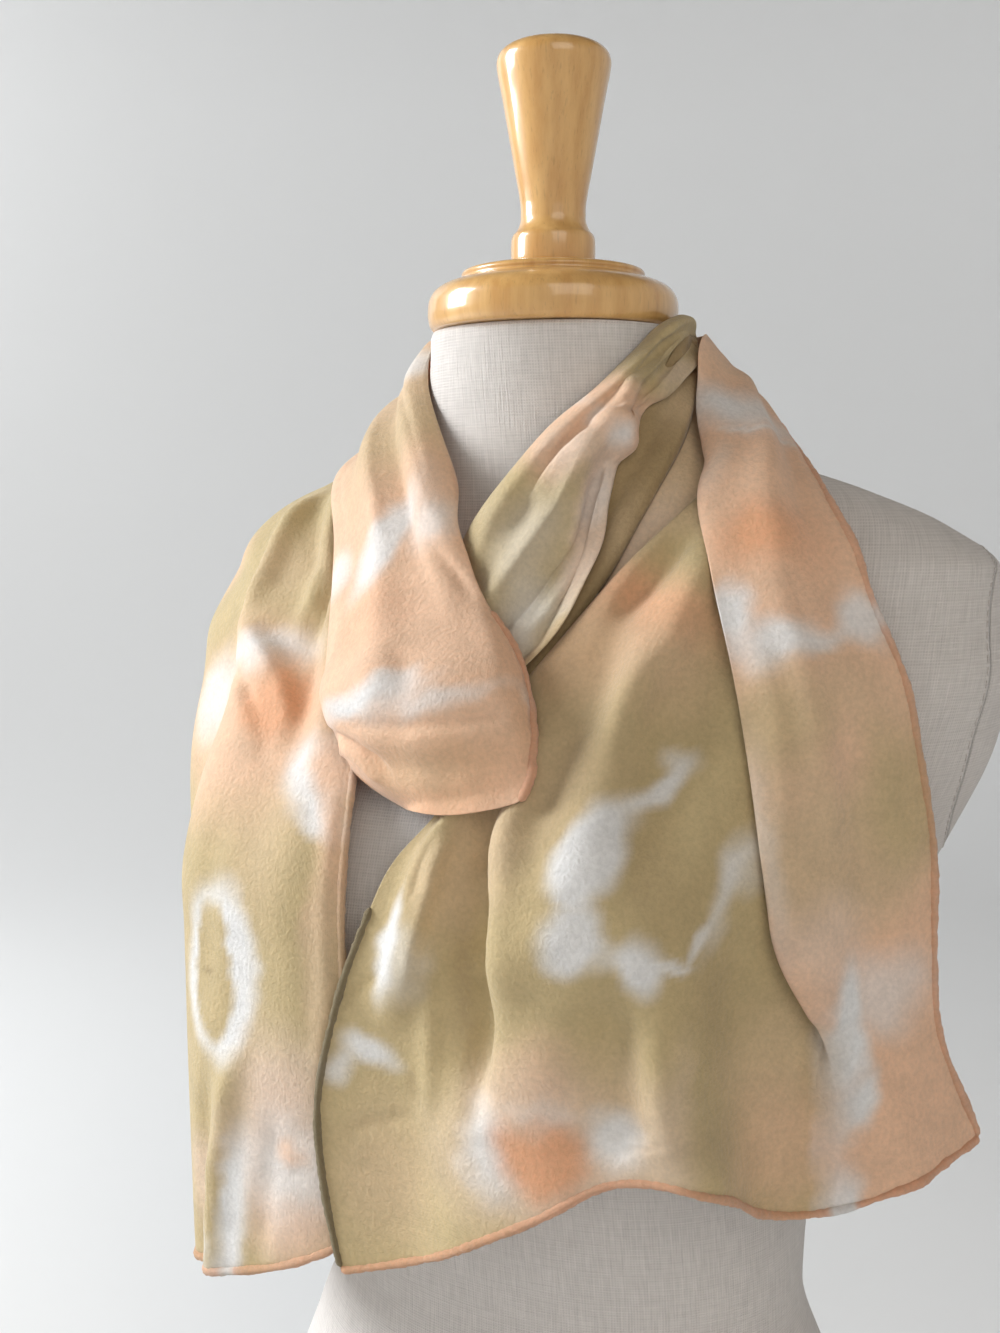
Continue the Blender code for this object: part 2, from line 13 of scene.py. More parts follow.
import bpy
import numpy as np
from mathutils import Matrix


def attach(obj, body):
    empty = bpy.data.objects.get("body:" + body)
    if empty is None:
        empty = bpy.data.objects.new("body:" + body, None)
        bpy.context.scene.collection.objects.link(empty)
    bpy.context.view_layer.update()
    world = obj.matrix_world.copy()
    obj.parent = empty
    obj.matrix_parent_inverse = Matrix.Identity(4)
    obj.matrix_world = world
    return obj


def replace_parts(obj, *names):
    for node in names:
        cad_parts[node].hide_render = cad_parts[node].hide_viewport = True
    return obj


bl_info = {
    "name": "Chiffon Scarf on a Dress Form",
    "version": (1, 0, 0),
    "blender": (4, 5, 0),
    "location": "3D View > Sidebar > Scarf",
    "description": "Builds a dyed chiffon scarf, its dress form and a studio round them",
    "category": "Add Mesh",
}

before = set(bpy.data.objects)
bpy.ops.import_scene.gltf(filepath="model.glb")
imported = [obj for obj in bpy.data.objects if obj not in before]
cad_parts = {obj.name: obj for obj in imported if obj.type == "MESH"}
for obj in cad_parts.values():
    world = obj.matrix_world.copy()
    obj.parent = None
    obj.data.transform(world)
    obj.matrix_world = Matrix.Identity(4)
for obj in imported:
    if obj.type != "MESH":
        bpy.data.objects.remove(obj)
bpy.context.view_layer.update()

MM = 0.001

# ---------------------------------------------------------------- the form and the skin that cloth hangs on

CLOTH_WALL = 1.2
CLOTH_GAP = 0.1
SOFTNESS = 1.5
BASE_BOARD_HEIGHT = 14.0
FORM_BOTTOM = BASE_BOARD_HEIGHT + 0.3
FORM_TOP = 651.7
NECK_AXIS_Y = -20.0

# height, half width, depth in front, depth behind, middle (along Y), squareness of the section
FORM_SECTIONS = (
    (0, 158, 100, 110, 0, 2.2),
    (45, 166, 105, 116, 0, 2.2),
    (110, 155, 101, 107, -1, 2.15),
    (175, 131, 91, 93, -2, 2.1),
    (222, 115, 86, 86, -3, 2.1),
    (270, 117, 92, 88, -3, 2.15),
    (330, 128, 105, 96, -3, 2.2),
    (395, 143, 118, 102, -1, 2.3),
    (440, 156, 112, 106, 2, 2.35),
    (480, 172, 99, 104, 5, 2.4),
    (515, 184, 91, 94, 11, 2.4),
    (550, 184, 82, 80, 16, 2.3),
    (568, 163, 76, 72, 15, 2.2),
    (583, 130, 70, 66, 10, 2.1),
    (595, 97, 66, 62, 4, 2.0),
    (607, 76, 62, 59, -2, 2.0),
    (621, 65, 57, 56, -9, 2.0),
    (640, 58, 54, 54, -15, 2.0),
    (662, 55, 52, 53, -20, 2.0),
)
# What stands out from the plain sections on both sides: how far, its angle and height, and how far it
# reaches round the form, below and above.
Bulge = namedtuple("Bulge", "fullness angle height around below above")
BULGES = (
    # the chest, and the arm plates
    Bulge(22.0, 36.0, 400.0, 22.0, 50.0, 57.0),
    Bulge(18.5, 98.0, 462.0, 18.0, 78.0, 66.0),
)

ANGLE_STEP = 3.0
HEIGHT_STEP = 4.0
GRID_TOP = 680.0
FINE_CELLS = (60, 120)
SKIN_CLEARANCE = 0.2
# How many cells round the form and up it are blurred into the skin, its fillings, its slopes and a layer.
SKIN_BLUR = (2, 2)
FILLING_BLUR = (1, 1)
SLOPE_BLUR = (4, 5)
LAYER_BLUR = (0.8, 0.8)
FILLING_PASSES = 3
FILLING_STRENGTH = 1.5

# ---------------------------------------------------------------- how the cloth lies

# A row across a stretch of cloth, from edge a to edge b.
Row = namedtuple("Row", "angle_a height_a lift_a angle_b height_b lift_b belly sag tuck_a tuck_b")
# A soft fold along a stretch, in rows along it and fractions of the way from edge a to edge b.
Fold = namedtuple("Fold", "row_from row_to across_from across_to half_width depth")
# A stretch of cloth: its rows of a run, its cells across and along, and its first end's tuck.
Stretch = namedtuple("Stretch", "name run first last across along tuck_first")

FIRST_END_ROWS = (
    # angle, height, lift at a; the same at b; belly, sag, tuck at a, tuck at b
    (-15, 272, 13, -86, 226, 14, 6, -17, 0, 0),
    (-16, 330, 12, -86, 312, 15, 7, -4, 0, 0),
    (-15, 391, 10, -86, 384, 16, 8, 0, 0, 0),
    (-20, 450, 10, -86, 452, 15, 9, 0, 0, 0),
    (-30, 492, 10, -88, 505, 6, 4, 0, 0, 0),
    (-44, 540, 7, -94, 547, 2, 1, 0, 0, 0),
    (-55, 575, 5, -104, 568, 1, 1, 0, 0, 0),
    (-70, 607, 4, -118, 584, 3.5, 1, 0, 0, 0),
    (-95, 634, 3, -138, 599, 4, 1, 0, 5, 0),
    (-130, 644, 3, -165, 604, 5, 1, 0, 5, 0),
    (-175, 646, 3.5, 170, 604, 5, 2, 0, 5, 0),
    (140, 646, 4, 128, 606, 6, 2, 0, 5, 0),
    (108, 648, 5, 104, 620, 6, 2, 0, 6, 4),
    (82, 655, 7, 85, 638, 6, 2, 0, 6, 4),
    (62, 653, 10, 65, 627, 9, 3, 0, 8, 6),
    (48, 639, 13, 52, 613, 12, 3, 0, 10, 8),
    (34, 623, 15, 45, 602, 14, 3, 0, 12, 10),
    (20, 609, 15, 40, 579, 13, 3, 0, 12, 8),
    (7, 590, 14, 37, 552, 12, 3, 0, 12, 6),
    (-5, 571, 12, 28, 522, 12, 3, 0, 12, 6),
    (-16, 550, 9, 15, 499, 12, 3, 0, 12, 6),
)
FIRST_END_FOLDS = (
    # row from, row to, across from, across to, half width, depth
    Fold(0.0, 5.0, 0.45, 0.50, 0.10, 6),
    Fold(0.0, 4.5, 0.68, 0.66, 0.09, -7),
    Fold(0.0, 5.0, 0.86, 0.82, 0.08, 5),
    Fold(1.0, 5.0, 0.22, 0.26, 0.09, -5),
    Fold(3.9, 6.4, 0.55, 0.34, 0.09, 6),
    Fold(3.0, 4.6, 0.30, 0.54, 0.09, 5),
    Fold(3.6, 6.2, 0.68, 0.50, 0.07, -5),
    Fold(0.0, 2.2, 0.30, 0.34, 0.07, 3),
    Fold(3.0, 8.0, 0.12, 0.26, 0.06, 3),
    Fold(4.4, 9.0, 0.22, 0.40, 0.06, -4),
    Fold(4.0, 12.0, 0.62, 0.66, 0.06, 3),
    Fold(5.0, 12.0, 0.82, 0.84, 0.05, -3),
    Fold(8.0, 14.0, 0.34, 0.38, 0.07, -3),
    Fold(12.5, 19.0, 0.24, 0.30, 0.10, -5),
    Fold(13.0, 16.2, 0.52, 0.72, 0.09, -4),
    Fold(15.8, 20.0, 0.60, 0.52, 0.12, 6),
    Fold(16.4, 19.8, 0.84, 0.74, 0.06, -6),
    Fold(16.6, 19.8, 0.94, 0.88, 0.06, 3),
)

SECOND_END_ROWS = (
    # angle, height, lift at a; the same at b; belly, sag, tuck at a, tuck at b
    (-19.5, 459, 7, 21.5, 456, 9, 4, -10, 8, 6),
    (-26, 468, 19, 23.5, 469, 23, 12, -8, 9, 6),
    (-32, 483, 28, 22.5, 489, 31, 15, -3, 10, 5),
    (-39, 505, 25, 17, 512, 28, 9, 0, 12, 5),
    (-49, 536, 19, 6, 534, 23, 6, 0, 12, 6),
    (-59, 566, 15, -7, 568, 18, 6, 0, 12, 8),
    (-78, 594, 10, -24, 604, 13, 5, 0, 10, 10),
    (-98, 608, 9, -44, 630, 10, 4, 0, 6, 8),
    (-122, 612, 9, -68, 652, 7, 3, 0, 4, 6),
    (-150, 604, 11, -110, 650, 8, 3, 0, 0, 6),
    (180, 600, 12, -165, 650, 9, 3, 0, 0, 6),
    (150, 600, 13, 150, 650, 10, 3, 0, 0, 6),
    (125, 606, 13, 105, 648, 10, 3, 0, 0, 6),
    (112, 612, 14, 73, 643, 11, 4, 0, 0, 8),
    (99, 606, 15, 68, 618, 14, 4, 0, 0, 8),
    (85, 592, 9, 63, 592, 15, 4, 0, 0, 8),
    (77, 577, 8, 58, 574, 15, 4, 0, 0, 8),
    (74, 552, 8, 57, 546, 14, 4, 0, 0, 8),
    (74, 520, 8, 56, 515, 14, 5, 0, 0, 8),
    (76, 482, 8, 55, 475, 15, 5, 0, 0, 8),
    (78, 444, 8, 54, 440, 15, 4, 0, 0, 8),
    (78.5, 403, 8, 54.5, 405, 14, 4, 0, 0, 6),
    (79.5, 368, 9, 57, 368, 13, 4, 0, 0, 4),
    (85, 324, 11, 61, 302, 14, 4, 2, 0, 2),
)
SECOND_END_FOLDS = (
    Fold(0.0, 3.2, 0.30, 0.62, 0.10, -1.5),
    Fold(1.5, 8.0, 0.36, 0.40, 0.12, 4),
    Fold(4.0, 9.0, 0.68, 0.62, 0.09, -4),
    Fold(5.0, 13.0, 0.20, 0.22, 0.07, -4),
    Fold(7.5, 12.8, 0.50, 0.50, 0.08, 4),
    Fold(8.0, 12.8, 0.74, 0.72, 0.07, -4),
    Fold(13.0, 20.0, 0.42, 0.50, 0.16, 4),
    Fold(14.5, 19.0, 0.22, 0.24, 0.09, -3),
    Fold(18.0, 22.9, 0.30, 0.40, 0.14, -4),
    Fold(20.0, 23.0, 0.70, 0.72, 0.16, 4),
)

FRONT_ROWS = (
    (14, 493, 12, 66, 588, 7, 2, 3, 0, 0),
    (8, 472, 14, 68, 552, 6, 4, 2, 0, 0),
    (2, 450, 14, 68, 512, 6, 4, 0, 0, 0),
    (-7, 430, 13, 68, 470, 7, 3, 0, 0, 0),
    (-11, 405, 13, 68, 435, 8, 3, 0, 0, 0),
    (-15, 375, 14, 68, 402, 8, 3, 0, 0, 0),
    (-18, 335, 15, 68, 368, 9, 3, 0, 0, 0),
    (-17, 298, 16, 67.5, 335, 11, 3, 0, 0, 0),
    (-14, 264, 18, 67, 305, 13, 3, 0, 0, 0),
)
FRONT_FOLDS = (
    Fold(0.0, 1.2, 0.76, 0.46, 0.09, -2.5),
    Fold(0.2, 2.6, 0.82, 0.46, 0.09, 4.5),
    Fold(1.0, 5.5, 0.10, 0.14, 0.05, 6),
    Fold(1.4, 6.4, 0.20, 0.38, 0.06, -7),
    Fold(1.2, 4.2, 0.29, 0.33, 0.05, 4),
    Fold(0.6, 5.0, 0.62, 0.42, 0.07, 5),
    Fold(1.0, 4.0, 0.80, 0.60, 0.06, -3),
    Fold(4.6, 8.0, 0.58, 0.58, 0.06, -6),
    Fold(4.6, 8.0, 0.64, 0.72, 0.06, 6),
    Fold(3.8, 8.0, 0.76, 0.86, 0.07, -7),
    Fold(5.0, 8.0, 0.38, 0.35, 0.09, 4),
)
# How the wide part's hem rises and falls: fraction of the way across, height.
FRONT_HEM = (
    (0.0, 264), (0.25, 281), (0.46, 308), (0.60, 328), (0.68, 331), (0.77, 321), (0.87, 305),
    (0.95, 301), (1.0, 305),
)
FRONT_HEM_ROWS = 3.0
# The rows over which a fold fades and two stretches blend.
FADE_ROWS = 0.9

BAND_ROWS = (
    (68, 648, 7, 84, 644, 7, 1, 0, 0, 3),
    (52, 622, 8, 72, 618, 8, 1, 0, 0, 3),
    (41, 600, 8, 56, 590, 8, 1, 0, 0, 3),
    (34, 582, 8, 48, 571, 8, 1, 0, 0, 3),
    (29, 555, 8, 39, 547, 8, 1, 0, 0, 3),
    (22, 530, 8, 29, 525, 8, 1, 0, 0, 3),
    (10, 503, 9, 18, 497, 9, 1, 0, 0, 3),
)
BAND_FOLDS = (Fold(0.0, 4.5, 0.55, 0.50, 0.16, -2),)
UNDER_BAND_ROWS = (
    (74, 626, 2, 80, 600, 2, 1, 0, 0, 0),
    (54, 596, 2, 62, 570, 1, 1, 0, 0, 0),
    (45, 580, 2, 53, 558, 1, 1, 0, 0, 0),
    (36, 556, 2, 44, 544, 1, 1, 0, 0, 0),
    (28, 532, 2, 34, 520, 1, 1, 0, 0, 0),
    (15, 502, 2, 22, 490, 1, 1, 0, 0, 0),
)

# Every stretch of cloth, in the order in which they lie on the form, the innermost first.
STRETCHES = (
    Stretch("neck_back_inner", "first_end", 8, 12, 84, 44, 0),
    Stretch("left_tail", "first_end", 0, 8, 84, 200, 0),
    Stretch("under_band", "under_band", 0, 5, 14, 60, 0),
    Stretch("inner_band", "band", 0, 6, 20, 76, 0),
    Stretch("front_panel", "front", 0, 8, 144, 150, 6),
    Stretch("cowl", "first_end", 12, 20, 84, 130, 0),
    Stretch("neck_back_outer", "second_end", 8, 12, 64, 52, 0),
    Stretch("knot_flap", "second_end", 0, 8, 64, 130, 7),
    Stretch("shoulder_panel", "second_end", 12, 23, 64, 200, 0),
)
RUNS = {
    "first_end": (FIRST_END_ROWS, FIRST_END_FOLDS),
    "second_end": (SECOND_END_ROWS, SECOND_END_FOLDS),
    "front": (FRONT_ROWS, FRONT_FOLDS),
    "band": (BAND_ROWS, BAND_FOLDS),
    "under_band": (UNDER_BAND_ROWS, ()),
}
# Where the wide part's rows meet the shoulder stretch's rows, at the pleat between them.
PLEAT_ROWS = (
    (0, 15.2), (1, 16.8), (2, 18.1), (3, 19.15), (4, 20.15), (5, 21.1), (6, 22.0), (7, 22.6), (8, 23.0),
)
PLEAT_CELLS = 12
# How full the pleat is, how far to each side it is smoothed where it has opened, and how much farther out
# its slope is read.
PLEAT_FULLNESS = 3.2
PLEAT_REACH = 40.0
PLEAT_SLOPE = 8
# The wide part's row at which the pleat starts to open, and the rows that it takes.
PLEAT_OPENS = 4.4
PLEAT_OPENING = 2.0
# The rows of each grid below which the pleat has opened.
OPEN_FROM = {"wide_part": 5.6, "second_end": 21.6}


def curve_through(places, values, at):
    """A monotone cubic through (places, values), read at the places `at`."""
    places = np.asarray(places, float)
    values = np.asarray(values, float)
    steps = np.diff(places)
    slopes = np.diff(values) / steps
    tangents = np.concatenate([slopes[:1], np.zeros(len(places) - 2), slopes[-1:]])
    for i in range(1, len(places) - 1):
        if slopes[i - 1] * slopes[i] > 0:
            before = 2 * steps[i] + steps[i - 1]
            after = steps[i] + 2 * steps[i - 1]
            tangents[i] = (before + after) / (before / slopes[i - 1] + after / slopes[i])
    at = np.clip(np.asarray(at, float), places[0], places[-1])
    i = np.clip(np.searchsorted(places, at, side="right") - 1, 0, len(steps) - 1)
    t = (at - places[i]) / steps[i]
    return (
        (1 + 2 * t) * (1 - t) ** 2 * values[i]
        + t * (1 - t) ** 2 * steps[i] * tangents[i]
        + t * t * (3 - 2 * t) * values[i + 1]
        + t * t * (t - 1) * steps[i] * tangents[i + 1]
    )


def rows_at(rows, at):
    """Each column of the rows at the row numbers `at`, on a smooth curve through them (Catmull-Rom)."""
    table = np.array(rows, float)
    for column in (0, 3):
        table[:, column] = np.degrees(np.unwrap(np.radians(table[:, column])))
    ends = np.vstack([2 * table[0] - table[1], table, 2 * table[-1] - table[-2]])
    i = np.clip(np.floor(at).astype(int), 0, len(table) - 2)
    t = (at - i)[:, None]
    p0, p1, p2, p3 = ends[i], ends[i + 1], ends[i + 2], ends[i + 3]
    smooth = (
        2 * p1
        + (p2 - p0) * t
        + (2 * p0 - 5 * p1 + 4 * p2 - p3) * t**2
        + (3 * p1 - p0 - 3 * p2 + p3) * t**3
    )
    return Row(*(smooth / 2).T)


def ease(x):
    """0 below 0, 1 above 1, with a smooth rise between."""
    x = np.clip(x, 0, 1)
    return x * x * (3 - 2 * x)


def fullness(bulge, angle, height):
    """How far a bulge stands out from the plain section."""
    spread = np.where(height > bulge.height, bulge.above, bulge.below)
    sideways = (np.abs(angle) - bulge.angle) / bulge.around
    upward = (height - bulge.height) / spread
    return bulge.fullness * np.exp(-(sideways**2) - upward**2)


def form_radius(angle, height):
    """The form's radius about the upright axis through the base, at angles and heights."""
    angle, height = np.broadcast_arrays(np.asarray(angle, float), np.asarray(height, float))
    columns = np.array(FORM_SECTIONS, float).T
    half_width, front, back, middle, squareness = (
        curve_through(columns[0], column, height) for column in columns[1:]
    )
    across = np.sin(np.radians(angle))
    along = -np.cos(np.radians(angle))
    low = np.full(angle.shape, 5.0)
    high = np.full(angle.shape, 300.0)
    for _ in range(30):
        radius = (low + high) / 2
        from_middle = radius * along - middle
        depth = np.where(from_middle < 0, front, back)
        size = np.abs(radius * across / half_width) ** squareness
        size = size + np.abs(from_middle / depth) ** squareness
        low = np.where(size < 1, radius, low)
        high = np.where(size < 1, high, radius)
    radius = (low + high) / 2
    for bulge in BULGES:
        radius = radius + fullness(bulge, angle, height)
    return radius


def bell(cells):
    """The weights of a bell curve over the cells near by, and how many cells it reaches each way."""
    reach = int(3 * cells) + 1
    weights = np.exp(-(np.arange(-reach, reach + 1) ** 2) / (2 * cells**2))
    return weights / weights.sum(), reach


def blurred(grid, angle_cells, height_cells):
    """The grid smoothed by a bell curve, round the form and up it."""
    weights, reach = bell(angle_cells)
    turned = sum(w * np.roll(grid[:-1], k - reach, axis=0) for k, w in enumerate(weights))
    weights, reach = bell(height_cells)
    longer = np.pad(turned, ((0, 0), (reach, reach)), mode="edge")
    raised = sum(w * longer[:, k : k + grid.shape[1]] for k, w in enumerate(weights))
    return np.vstack([raised, raised[:1]])


class Skin:
    """The skin that cloth hangs on: the form, but straight down below each place that stands out."""

    def __init__(self):
        self.angles = np.arange(-180, 180 + ANGLE_STEP / 2, ANGLE_STEP)
        self.heights = np.arange(0, GRID_TOP + HEIGHT_STEP / 2, HEIGHT_STEP)
        neck = np.minimum(self.heights, FORM_SECTIONS[-1][0])
        form = form_radius(self.angles[:, None], neck[None, :])
        hanging = np.maximum.accumulate(form[:, ::-1], axis=1)[:, ::-1]
        skin = blurred(hanging, *SKIN_BLUR)
        for _ in range(FILLING_PASSES):
            skin = skin + blurred(np.maximum(form - skin, 0), *FILLING_BLUR) * FILLING_STRENGTH
        self.radius = np.maximum(skin, form) + SKIN_CLEARANCE
        smoother = blurred(hanging, *SLOPE_BLUR)
        self.rise = np.gradient(smoother, HEIGHT_STEP, axis=1)
        self.turn = np.gradient(smoother, math.radians(ANGLE_STEP), axis=0)
        self.top = np.zeros_like(self.radius)
        self.resting = np.zeros_like(self.radius)

    def cells(self, angle, height):
        """The grid cell of each place, and how far across the cell it lies."""
        i = (np.asarray(angle, float) + 180) % 360 / ANGLE_STEP
        j = np.clip(np.asarray(height, float), 0, GRID_TOP - 0.01) / HEIGHT_STEP
        low_i = np.floor(i).astype(int)
        low_j = np.floor(j).astype(int)
        return low_i, low_j, i - low_i, j - low_j

    def read(self, grid, angle, height):
        """The grid's value at each place, between its four nearest cells."""
        i, j, f, g = self.cells(angle, height)
        lower = grid[i, j] * (1 - f) + grid[i + 1, j] * f
        upper = grid[i, j + 1] * (1 - f) + grid[i + 1, j + 1] * f
        return lower * (1 - g) + upper * g

    def place(self, angle, height, lift):
        """Points in millimetres for places on the skin, each lifted square off it."""
        radius = self.read(self.radius, angle, height)
        upward = -self.read(self.rise, angle, height)
        sideways = -self.read(self.turn, angle, height) / radius
        length = lift / np.sqrt(1 + upward**2 + sideways**2)
        sine = np.sin(np.radians(angle))
        cosine = np.cos(np.radians(angle))
        return np.stack(
            [
                radius * sine + length * (sine + sideways * cosine),
                -radius * cosine + length * (sideways * sine - cosine),
                height + length * upward,
            ],
            axis=-1,
        )

    def cover(self, angle, height, lift):
        """Records cloth up to `lift`, so that what is laid next lies on it."""
        i, j = self.cells(angle, height)[:2]
        for near_i in (-1, 0, 1, 2):
            for near_j in (-1, 0, 1, 2):
                around = (i + near_i) % (len(self.angles) - 1)
                upward = np.clip(j + near_j, 0, len(self.heights) - 1)
                np.maximum.at(self.top, (around, upward), lift)
        self.top[-1] = self.top[0]
        self.resting = blurred(self.top, *LAYER_BLUR)


def spaced(count, crowd_first=True, crowd_last=True):
    """Fractions from 0 to 1, closer together at an end that is tucked."""
    steps = np.linspace(0, 1, count + 1)
    closer = (1 - np.cos(math.pi * steps)) / 2
    weight = 0.5 * (crowd_first * (1 - steps) + crowd_last * steps)
    return steps * (1 - weight) + closer * weight


def rounded(distance, width):
    """0 at a tucked edge and 1 past its rounding, along a quarter circle."""
    inside = np.clip(distance / np.maximum(width, 0.01), 0, 1)
    return np.where(width > 0.5, np.sqrt(1 - (1 - inside) ** 2), 1.0)


def lay(skin, stretch, across, along):
    """Angles, heights and lifts of a stretch at fractions across it and rows along it."""
    rows, folds = RUNS[stretch.run]
    row = rows_at(rows, along)
    across = across[:, None]
    arch = 4 * across * (1 - across)
    angle = row.angle_a + (row.angle_b - row.angle_a) * across
    height = row.height_a + (row.height_b - row.height_a) * across + row.sag * arch
    lift = row.lift_a + (row.lift_b - row.lift_a) * across + row.belly * arch
    if stretch.run == "front":
        places, hem = zip(*FRONT_HEM)
        straight = hem[0] + (hem[-1] - hem[0]) * across
        wave = curve_through(places, hem, across) - straight
        height = height + wave * ease(1 - (stretch.last - along) / FRONT_HEM_ROWS) ** 2
    for fold in folds:
        run = (along - fold.row_from) / (fold.row_to - fold.row_from)
        middle = fold.across_from + (fold.across_to - fold.across_from) * np.clip(run, 0, 1)
        soft = FADE_ROWS / (fold.row_to - fold.row_from)
        starts_free = fold.row_from <= 0
        ends_free = fold.row_to >= len(rows) - 1
        fade = np.where(starts_free, 1, ease(run / soft)) * np.where(ends_free, 1, ease((1 - run) / soft))
        lift = lift + fold.depth * fade * np.exp(-(((across - middle) / fold.half_width) ** 2))
    ends = skin.place(angle, height, lift)
    width = np.linalg.norm(np.diff(ends, axis=0), axis=2).sum(axis=0)
    steps = np.linalg.norm(np.diff(ends, axis=1), axis=2)
    ran = np.concatenate([np.zeros((len(across), 1)), np.cumsum(steps, axis=1)], axis=1)
    shape = rounded(across * width, row.tuck_a) * rounded((1 - across) * width, row.tuck_b)
    shape = shape * rounded(ran, np.full(along.shape, float(stretch.tuck_first)))
    resting = skin.read(skin.resting, angle, height) + CLOTH_GAP + CLOTH_WALL / 2
    above = (lift - resting + np.hypot(lift - resting, SOFTNESS)) / 2
    return angle, height, resting + above * shape


def pleat_rows(along):
    """The rows of the shoulder's stretch that lie beside the wide part's rows."""
    wide, shoulder = zip(*PLEAT_ROWS)
    return curve_through(wide, shoulder, along)


def rows_along(stretch):
    """The rows at which a stretch is read, from its first to its last."""
    if stretch.name != "shoulder_panel":
        crowd = stretch.tuck_first > 0
        return stretch.first + (stretch.last - stretch.first) * spaced(stretch.along, crowd, False)
    beside = pleat_rows(rows_along(by_name("front_panel")))
    above = np.linspace(stretch.first, beside[0], stretch.along - len(beside) + 2)
    return np.concatenate([above[:-1], beside])


def by_name(name):
    """The stretch of that name."""
    return next(stretch for stretch in STRETCHES if stretch.name == name)


@functools.cache
def laid_scarf():
    """Each stretch's angles, heights and lifts on its grid, laid from the innermost out."""
    skin = Skin()
    laid = {}
    for stretch in STRETCHES:
        laid[stretch.name] = lay(skin, stretch, spaced(stretch.across), rows_along(stretch))
        fine = np.linspace(stretch.first, stretch.last, FINE_CELLS[1] + 1)
        angle, height, lift = lay(skin, stretch, spaced(FINE_CELLS[0]), fine)
        skin.cover(angle, height, lift + CLOTH_WALL / 2)
    return skin, laid


def run_grid(names):
    """One grid through stretches that follow each other, with no step where two of them meet."""
    skin, laid = laid_scarf()
    rows = [rows_along(by_name(name)) for name in names]
    lifts = [laid[name][2].copy() for name in names]
    for k in range(len(names) - 1):
        step = lifts[k + 1][:, :1] - lifts[k][:, -1:]
        before = ease(1 - (rows[k][-1] - rows[k]) / FADE_ROWS)
        after = ease(1 - (rows[k + 1] - rows[k + 1][0]) / FADE_ROWS)
        lifts[k] = lifts[k] + 0.5 * step * before
        lifts[k + 1] = lifts[k + 1] - 0.5 * step * after
    points = [skin.place(laid[name][0], laid[name][1], lift) for name, lift in zip(names, lifts)]
    points = [points[0]] + [more[:, 1:] for more in points[1:]]
    rows = [rows[0]] + [more[1:] for more in rows[1:]]
    return np.concatenate(points, axis=1), np.concatenate(rows)


# ---------------------------------------------------------------- sheets of cloth

# A crease or small ridge laid on one grid of a sheet, from one place to another on a different row.
# The bow is how far its middle strays, as a share of its length, and the half width and depth are in
# millimetres.
Crease = namedtuple("Crease", "row_from across_from row_to across_to bow half_width depth")
CREASE_STEPS = 16
# How often the cloth is evened out after its creases, and before them on each end and each band.
CREASE_SMOOTHING = 3
END_SMOOTHING = 9
BAND_SMOOTHING = 3
# How far the cloth stays off the form, in millimetres.
LEAST_OFF_FORM = 1.0
# The share of a crease over which it fades at each end, and how many rows beyond it the cloth can move.
CREASE_FADE = 0.3
REACH_ROWS = 5

FIRST_END_CREASES = (
    # the tail's upper lobe, and the folds inside it
    (6.4, 0.34, 4.2, 0.58, 0.10, 4.6, 8.0),
    (6.3, 0.42, 3.9, 0.66, 0.10, 2.8, -8.5),
    (4.4, 0.58, 3.3, 0.26, 0.14, 4.6, 7.0),
    (4.0, 0.66, 3.05, 0.28, 0.14, 3, -7.5),
    (6.3, 0.12, 4.2, 0.27, 0.06, 2.8, -7.0),
    (5.9, 0.20, 4.2, 0.36, 0.08, 4.5, 3.4),
    (4.6, 0.16, 3.7, 0.24, -0.1, 3, -1.2),
    (3.0, 0.20, 2.75, 0.08, 0.2, 2.5, -1.2),
    # its long folds, down to the hem
    (3.4, 0.05, 1.0, 0.05, 0.02, 4, 1.6),
    (2.9, 0.34, 1.4, 0.36, 0.03, 6, -1.6),
    (1.6, 0.21, -0.8, 0.35, -0.03, 5, 6.0),
    (1.4, 0.30, -0.8, 0.43, -0.03, 5, -6.0),
    (1.1, 0.13, -0.1, 0.22, 0.04, 5, -1.8),
    (0.52, 0.20, 0.56, 0.02, 0.04, 2, -1.0),
    (0.30, 0.30, 0.34, 0.10, -0.05, 2, -0.7),
    (0.95, 0.04, 0.75, 0.16, 0.1, 2.5, -0.8),
    (2.6, 0.55, 0.2, 0.60, 0.04, 6, 2.2),
    (3.1, 0.78, 0.6, 0.74, -0.03, 5, -2.0),
    (5.2, 0.86, 2.8, 0.92, 0.05, 4, 1.6),
    # behind the neck
    (8.2, 0.30, 10.6, 0.22, 0.05, 3, -1.6),
    (9.0, 0.62, 12.0, 0.52, -0.04, 3, 1.6),
    (7.4, 0.80, 9.6, 0.88, 0.04, 3, -1.4),
    # the throat's drape: its cupped top, the knob, and the lobes that hang from them
    (12.6, 0.12, 14.9, 0.06, 0.04, 2.4, 2.4),
    (12.0, 0.86, 15.3, 0.88, 0.06, 4.5, 4.0),
    (12.0, 0.54, 15.2, 0.52, 0.04, 9.0, -3.5),
    (15.0, 0.30, 15.6, 1.05, 0.14, 5.0, -3.0),
    (15.3, 0.10, 15.9, 0.66, 0.10, 4, 2.4),
    (15.95, 0.44, 16.55, 1.05, 0.14, 7, 7.0),
    (16.2, 0.60, 18.3, 0.28, -0.05, 5.5, 4.6),
    (16.4, 0.44, 17.6, 0.18, -0.04, 3, -2.0),
    (16.9, 0.66, 20.4, 0.82, 0.03, 4, 4.0),
    (16.7, 0.84, 20.2, 0.92, 0.02, 3, -5.0),
    (16.4, 0.98, 19.0, 0.99, 0.02, 2.2, 1.6),
    (17.4, 0.48, 19.7, 0.58, 0.05, 4, -1.6),
    (18.0, 0.16, 19.6, 0.30, -0.05, 3.5, 1.2),
)
